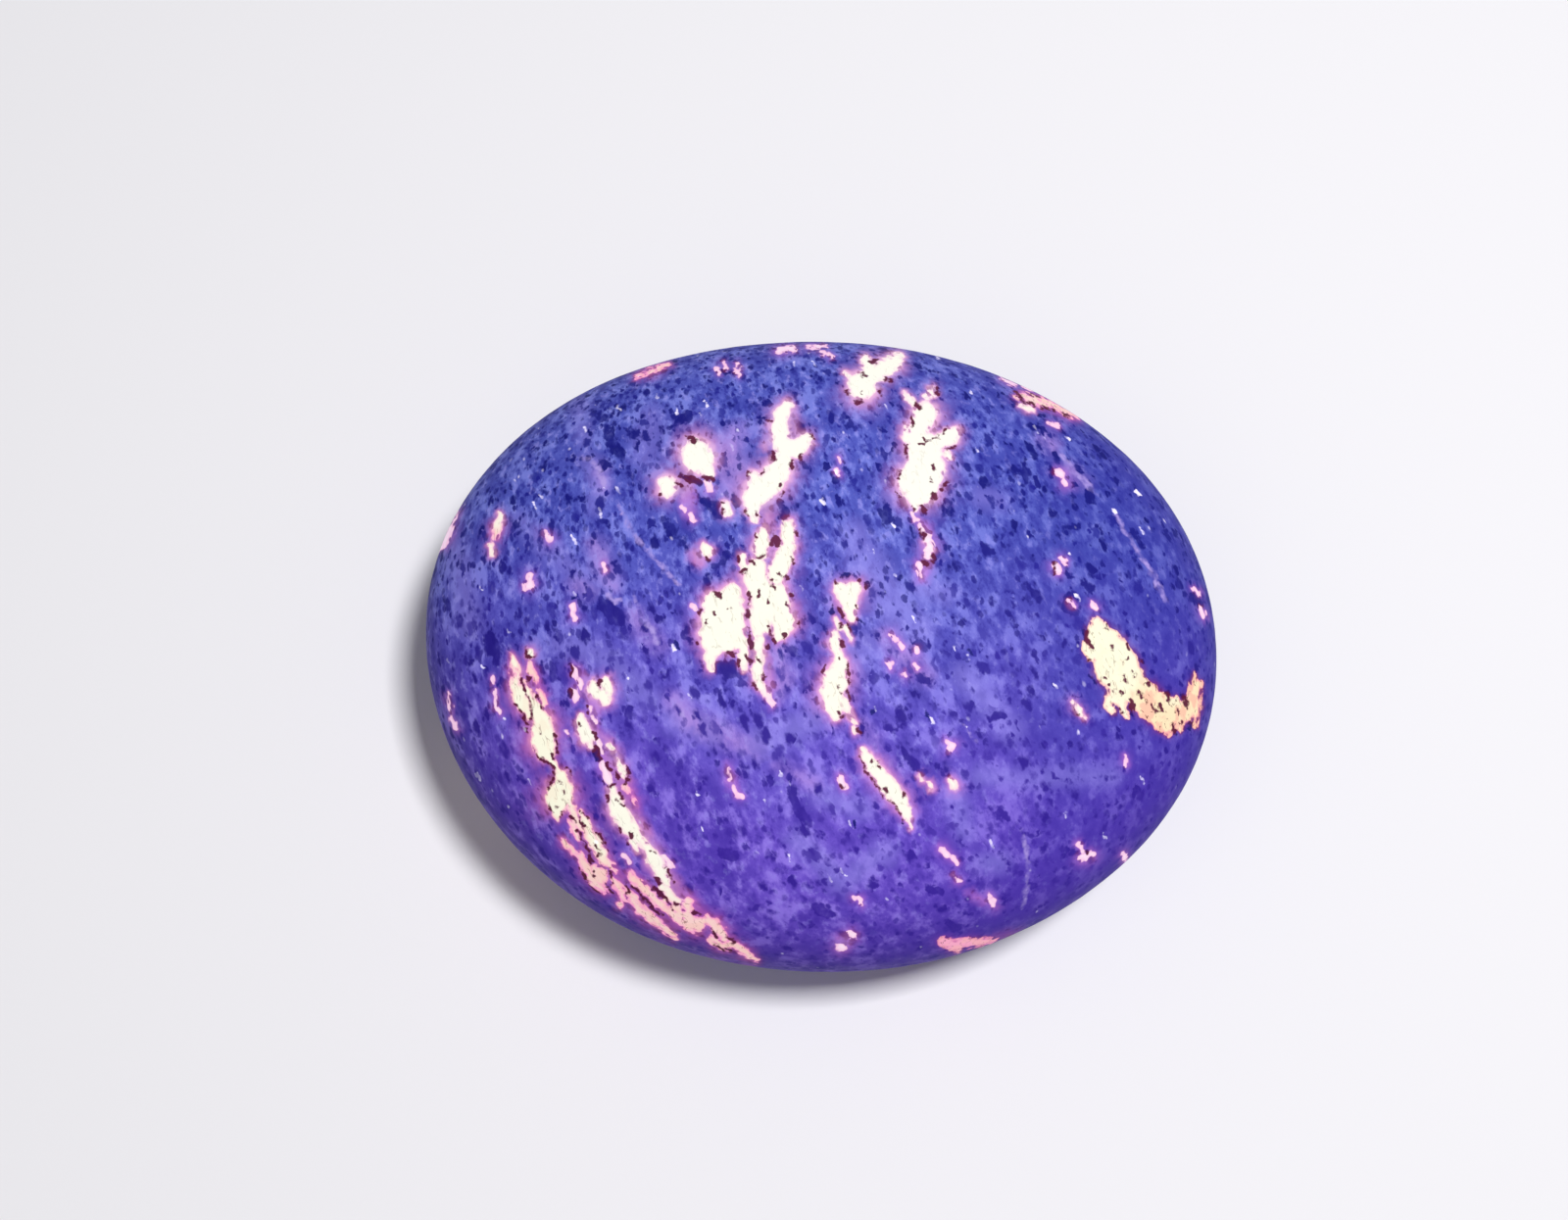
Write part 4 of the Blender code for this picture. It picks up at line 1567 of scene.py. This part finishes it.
def string_mask(tree, leaning, stringy):
    """Thin broken lines along the grain, denser where the patch is stringy."""
    drawn_out = add_node(tree, "ShaderNodeMapping", {"Vector": leaning, "Scale": (0.42, 1.0, 1.0)}).outputs["Vector"]
    wave = cloud(tree, drawn_out, 1.7, 2.0)
    ridge = calc(tree, "ABSOLUTE", calc(tree, "SUBTRACT", wave, 0.5))
    line = calc(tree, "SUBTRACT", 1.0, ramp(tree, ridge, 0.006, 0.030))
    broken = ramp(tree, cloud(tree, leaning, 2.3, 2.0), 0.46, 0.60)
    return calc(tree, "MULTIPLY", calc(tree, "MULTIPLY", line, broken), stringy)


print("patches give back", PATCH_ALBEDO, "of the light and add", GLOW_STRENGTH, "of their own")

# %% Material: glowing syenite
def make_syenite():
    material = bpy.data.materials.new("glowing_syenite")
    material.use_nodes = True
    tree = material.node_tree
    shader = tree.nodes["Principled BSDF"]
    rock = rock_vector(tree)
    leaning = grain_vector(tree, rock)

    # Ground: blue at the far side and violet at the near side, the violet being painted light; darker
    # and more violet towards the rim, which is painted shade; darker towards the right end; cloudy
    # with feldspar
    axes = add_node(tree, "ShaderNodeSeparateXYZ", {"Vector": rock}).outputs
    broad = cloud(tree, rock, 0.10)
    # Painted light: drift blends from the near side's violet cast to the far side's blue
    drift = ramp(tree, calc(tree, "MULTIPLY_ADD", broad, 12.0, axes["Y"]), -13.0, 15.0)
    ground = blend(tree, drift, *GROUND)
    # Painted shade: low rises towards the rim, from the height on the stone, and darkens the ground there; milk and
    # pale flecks fade with it
    tilted = calc(tree, "MULTIPLY_ADD", axes["X"], RIM_SHADE_TILT_X, axes["Z"])
    tilted = calc(tree, "MULTIPLY_ADD", axes["Y"], RIM_SHADE_TILT_Y, tilted)
    low = ramp(tree, calc(tree, "MULTIPLY_ADD", broad, 3.0, tilted), 12.0, 19.0, RIM_SHADE_SHARE, 0.0)
    ground = blend(tree, low, ground, RIM_SHADE_VIOLET)
    right = ramp(tree, calc(tree, "MULTIPLY_ADD", broad, 10.0, axes["X"]), 7.0, 26.0, 0.0, RIGHT_SHARE)
    dusk_colour = blend(tree, drift, *DUSK)
    dusk = calc(tree, "MAXIMUM", right, calc(tree, "MULTIPLY", stored(tree, "dusk"), 0.60))
    ground = blend(tree, dusk, ground, dusk_colour)
    mottle = cloud(tree, leaning, 0.62, 4.0, 0.58)
    ground = blend(tree, ramp(tree, mottle, 0.34, 0.50, 0.50, 0.0), ground, dusk_colour)
    speckle = cloud(tree, leaning, 1.5, 4.0, 0.62)
    contrast = ramp(tree, drift, 0.1, 0.9, 0.50, 1.0)
    ground = blend(tree, calc(tree, "MULTIPLY", ramp(tree, speckle, 0.36, 0.49, 0.80, 0.0), contrast), ground, dusk_colour)
    mottle = calc(tree, "MULTIPLY_ADD", calc(tree, "SUBTRACT", speckle, 0.5), 0.45, mottle)
    milk = calc(tree, "MULTIPLY", ramp(tree, mottle, 0.47, 0.66), calc(tree, "MULTIPLY_ADD", low, -0.60, 0.85))
    milk = calc(tree, "MULTIPLY", milk, calc(tree, "SUBTRACT", 1.0, right))
    ground = blend(tree, milk, ground, blend(tree, drift, *FELDSPAR_MILK))
    ground = blend(tree, calc(tree, "MULTIPLY", stored(tree, "milk"), 0.50), ground, HAZE_MAUVE)
    mauve = calc(tree, "MULTIPLY", stored(tree, "mauve"), ramp(tree, mottle, 0.35, 0.60, 0.25, 0.65))
    ground = blend(tree, mauve, ground, ROSY_MAUVE)
    flecks = calc(tree, "MULTIPLY", ramp(tree, speckle, 0.55, 0.68, 0.0, 0.45), contrast)
    flecks = calc(tree, "MULTIPLY", flecks, calc(tree, "MULTIPLY_ADD", calc(tree, "MAXIMUM", low, right), -1.1, 1.0, clamp=True))
    ground = blend(tree, flecks, ground, FLECK_PALE)

    # Halo: painted glow. The patches' scattered light is painted into the ground's colour around a
    # patch, and bloom paints the patch's edge colour in close to it
    halo = stored(tree, "halo")
    rim_colour = stored_colour(tree, "rim_colour")
    halo_uneven = calc(tree, "MULTIPLY", halo, ramp(tree, cloud(tree, rock, 0.8, 3.0), 0.25, 0.6, 0.60, 1.0))
    ground = blend(tree, calc(tree, "MULTIPLY", halo_uneven, 0.92), ground, rim_colour)
    edge_colour = stored_colour(tree, "edge_colour")
    bloom = calc(tree, "MULTIPLY", ramp(tree, halo, 0.50, 0.95), BLOOM_SHARE)
    rim_colour = blend(tree, bloom, rim_colour, edge_colour)
    ground = blend(tree, bloom, ground, edge_colour)

    # Grains: two sizes at random, gathered in clusters, and the large ones read from the stone
    gathered = cloud(tree, rock, 0.30, 2.0)
    gathered = calc(tree, "MULTIPLY_ADD", ramp(tree, axes["X"], -26.0, 6.0, 1.0, 0.0), 0.12, gathered)
    share = ramp(tree, gathered, 0.32, 0.68, 0.45, 0.90)
    soft = ramp(tree, drift, 0.0, 0.8, 0.17, 0.11)
    coarse = place_group(
        tree,
        scattered_grains,
        {"Vector": leaning, "Spacing": 0.92, "Share": share, "Radius": 0.33, "Softness": soft, "Ragged": 0.95},
    )
    pepper = place_group(
        tree,
        scattered_grains,
        {"Vector": leaning, "Spacing": 0.52, "Share": share, "Radius": 0.33, "Softness": soft, "Ragged": 0.80},
    )
    palest = ramp(tree, drift, 0.1, 0.9, 0.45, 0.80)
    coarse_mask = calc(tree, "MULTIPLY", coarse["Mask"], ramp(tree, coarse["Tone"], 0.0, 0.8, palest, 1.0))
    pepper_mask = calc(tree, "MULTIPLY", pepper["Mask"], ramp(tree, pepper["Tone"], 0.0, 1.0, 0.50, 1.0))
    strewn = calc(tree, "MAXIMUM", coarse_mask, pepper_mask)
    blot_depth = calc(tree, "MULTIPLY_ADD", strewn, 0.10, calc(tree, "SUBTRACT", stored(tree, "blot_depth"), 0.07))
    blot = place_group(
        tree, crystal_edge, {"Vector": leaning, "Depth": blot_depth, "Wander": 0.90, "Scale": 2.2, "Softness": 0.10}
    )
    blot_mask = calc(tree, "MULTIPLY", blot["Mask"], ramp(tree, cloud(tree, leaning, 1.3, 2.0), 0.35, 0.60, 0.80, 1.0))
    grain_mask = calc(tree, "MAXIMUM", calc(tree, "MULTIPLY", strewn, ramp(tree, halo, 0.0, 0.9, 1.0, 0.5)), blot_mask)
    tone = calc(tree, "MAXIMUM", coarse["Tone"], calc(tree, "MULTIPLY", blot_mask, 0.75))
    grain_colour = blend(tree, tone, blend(tree, drift, *PALE_GRAIN), blend(tree, drift, *NIGHT_GRAIN))
    # Painted glow light: inside a halo the grains take a maroon tint
    grain_colour = blend(tree, ramp(tree, halo, 0.10, 0.65), grain_colour, HALO_LIT_GRAIN_MAROON)
    colour = blend(tree, calc(tree, "MULTIPLY", grain_mask, 0.95), ground, grain_colour)

    # Threads: thin pale lines where a crack has healed, here and there lost
    thread = place_group(
        tree,
        crystal_edge,
        {
            "Vector": rock,
            "Depth": calc(tree, "ADD", stored(tree, "thread_depth"), 0.05),
            "Wander": 0.50,
            "Scale": 1.5,
            "Softness": 0.14,
        },
    )
    thread_mask = calc(tree, "MULTIPLY", thread["Mask"], ramp(tree, cloud(tree, rock, 1.2), 0.35, 0.6, 0.20, 0.90))
    colour = blend(tree, thread_mask, colour, THREAD_PALE)

    # Patches: grains nibble at their outline, strings cut them along the grain, and their brink
    # keeps some of the halo's colour
    nibble = calc(tree, "MULTIPLY_ADD", strewn, -0.18, calc(tree, "ADD", stored(tree, "glow_depth"), 0.05))
    stringy = stored(tree, "strings")
    wander = calc(tree, "MULTIPLY_ADD", stringy, 0.20, 0.42)
    patch = place_group(
        tree, crystal_edge, {"Vector": leaning, "Depth": nibble, "Wander": wander, "Scale": 1.9, "Softness": 0.05}
    )
    strings = string_mask(tree, leaning, stringy)
    core_colour = stored_colour(tree, "core_colour")
    brink = ramp(tree, patch["Depth"], -0.04, 0.28)
    glow_colour = blend(tree, brink, edge_colour, core_colour)
    tawny_share = calc(tree, "POWER", stringy, 2.5)
    tawny = calc(tree, "MULTIPLY", ramp(tree, cloud(tree, leaning, 1.1, 3.0), 0.47, 0.58), tawny_share)
    glow_colour = blend(tree, calc(tree, "MULTIPLY", tawny, 0.80), glow_colour, TAWNY)
    glow_colour = blend(tree, strings, glow_colour, STRING_BROWN)
    patch_matter = blend(tree, PATCH_ALBEDO, (0.0, 0.0, 0.0), glow_colour)
    colour = blend(tree, patch["Mask"], colour, patch_matter)

    # Dark grains that cut the patches, and glints, which are painted highlights: small flashes of
    # reflected light, painted in as a pale colour with a little emission
    cut = place_group(
        tree,
        crystal_edge,
        {
            "Vector": rock,
            "Depth": stored(tree, "cut_depth"),
            "Wander": 0.55,
            "Scale": 3.2,
            "Softness": 0.07,
        },
    )
    # Painted glow light: cut grains inside a halo are maroon, elsewhere near black
    cut_colour = blend(tree, ramp(tree, halo, 0.10, 0.55), NIGHT_GRAIN[1], HALO_LIT_CUT_MAROON)
    colour = blend(tree, calc(tree, "MULTIPLY", cut["Mask"], 0.95), colour, cut_colour)
    glint_depth = calc(tree, "SUBTRACT", stored(tree, "glint_depth"), 0.05)
    glint = place_group(
        tree, crystal_edge, {"Vector": rock, "Depth": glint_depth, "Wander": 0.30, "Softness": 0.05}
    )
    glint_mask = calc(tree, "MULTIPLY", glint["Mask"], ramp(tree, cloud(tree, rock, 0.9), 0.38, 0.62, 0.25, 1.0))
    spark = place_group(
        tree,
        scattered_grains,
        {"Vector": leaning, "Spacing": 1.7, "Share": 0.7, "Radius": 0.055, "Softness": 0.04, "Ragged": 0.30},
    )
    spark_mask = calc(tree, "MULTIPLY", spark["Mask"], ramp(tree, spark["Tone"], 0.0, 1.0, 0.20, 0.75))
    glint_mask = calc(tree, "MAXIMUM", glint_mask, spark_mask)
    colour = blend(tree, glint_mask, colour, GLINT_ICE)
    tree.links.new(colour, shader.inputs["Base Color"])

    # Glow: painted light. Patches give off light of their own, standing in for their fluorescence under
    # ultraviolet, which the lamps here don't give; halos shine faintly, and grains stay dark
    uncut = calc(tree, "SUBTRACT", 1.0, cut["Mask"])
    shining = calc(tree, "MULTIPLY", patch["Mask"], uncut)
    clear = calc(tree, "MULTIPLY_ADD", grain_mask, -0.8, 1.0)
    faint = calc(tree, "MULTIPLY", calc(tree, "MULTIPLY", halo_uneven, HALO_GLOW), calc(tree, "MULTIPLY", uncut, clear))
    glow = blend(tree, shining, blend(tree, faint, (0.0, 0.0, 0.0), rim_colour), glow_colour)
    glow = blend(tree, calc(tree, "MULTIPLY", glint_mask, GLINT_GLOW), glow, GLINT_ICE)
    tree.links.new(glow, shader.inputs["Emission Color"])
    shader.inputs["Emission Strength"].default_value = GLOW_STRENGTH

    # Satin: worn smooth, a little duller on the grains
    sheen = ramp(tree, cloud(tree, rock, 1.3, 3.0), 0.3, 0.7, 0.58, 0.70)
    tree.links.new(calc(tree, "MULTIPLY_ADD", grain_mask, 0.06, sheen), shader.inputs["Roughness"])
    shader.inputs["Specular IOR Level"].default_value = 0.13
    height = calc(tree, "MULTIPLY_ADD", grain_mask, -0.4, cloud(tree, rock, 5.0, 3.0))
    bump = add_node(
        tree, "ShaderNodeBump", {"Height": height, "Strength": 0.35, "Distance": 0.02 * MM}
    ).outputs["Normal"]
    tree.links.new(bump, shader.inputs["Normal"])
    return material


palm_stone.data.materials.clear()
palm_stone.data.materials.append(make_syenite())
print("material:", palm_stone.data.materials[0].name)

# %% [markdown]
# ## Floor and light
#
# The stone lies on a plain pale floor. A large soft lamp stands high on the right and a little
# beyond the stone, so its shadow falls towards the lower left and stays short and soft. A second,
# weaker one fills the near side, and the world gives the rest. Their sizes are many times the
# stone's, because small lamps would leave hard white spots on it.

# %% Lay the floor
FLOOR_HALF = 600.0 * MM


def make_floor():
    shape = bmesh.new()
    bmesh.ops.create_grid(shape, x_segments=1, y_segments=1, size=FLOOR_HALF)
    mesh = bpy.data.meshes.new("floor")
    shape.to_mesh(mesh)
    shape.free()
    floor = bpy.data.objects.new("floor", mesh)
    material = bpy.data.materials.new("pale_floor")
    material.use_nodes = True
    material.node_tree.nodes["Principled BSDF"].inputs["Base Color"].default_value = (0.78, 0.77, 0.80, 1.0)
    material.node_tree.nodes["Principled BSDF"].inputs["Roughness"].default_value = 0.9
    material.node_tree.nodes["Principled BSDF"].inputs["Specular IOR Level"].default_value = 0.1
    mesh.materials.append(material)
    bpy.context.scene.collection.objects.link(floor)
    return floor


make_floor()
print("floor laid at height 0")

# %% Hang the lamps
LAMP_DISTANCE = 500.0 * MM


def hang_lamp(name, azimuth, elevation, size, watts, tint=(1.0, 1.0, 1.0)):
    """A square soft lamp, aimed at the stone, from a compass azimuth and an elevation in degrees."""
    data = bpy.data.lights.new(name, "AREA")
    data.size = size
    data.energy = watts
    data.color = tint
    lamp = bpy.data.objects.new(name, data)
    around, up = math.radians(azimuth), math.radians(elevation)
    towards = Vector((math.cos(around) * math.cos(up), math.sin(around) * math.cos(up), math.sin(up)))
    lamp.matrix_world = towards.to_track_quat("Z", "Y").to_matrix().to_4x4()
    lamp.matrix_world.translation = LAMP_DISTANCE * towards
    bpy.context.scene.collection.objects.link(lamp)


hang_lamp("key_lamp", azimuth=14.0, elevation=75.0, size=90.0 * MM, watts=2.4)
hang_lamp("fill_lamp", azimuth=235.0, elevation=50.0, size=500.0 * MM, watts=0.20)


def set_world(brightness):
    world = bpy.data.worlds.new("studio")
    world.use_nodes = True
    world.node_tree.nodes["Background"].inputs["Color"].default_value = (1.0, 1.0, 1.0, 1.0)
    world.node_tree.nodes["Background"].inputs["Strength"].default_value = brightness
    bpy.context.scene.world = world


set_world(0.18)
bpy.context.scene.view_settings.view_transform = "Standard"
bpy.context.scene.view_settings.look = "None"
bpy.context.scene.view_settings.exposure = 0.0
print("two lamps and the world's light")

# %% [markdown]
# ## Sizes, and the end
#
# The finished stone has to fill the same box as the imported one. The imported box is written down
# again.

# %% Write down the packed box
print("packed box in mm:", [[round(c / MM, 2) for c in corner] for corner in cad_box])
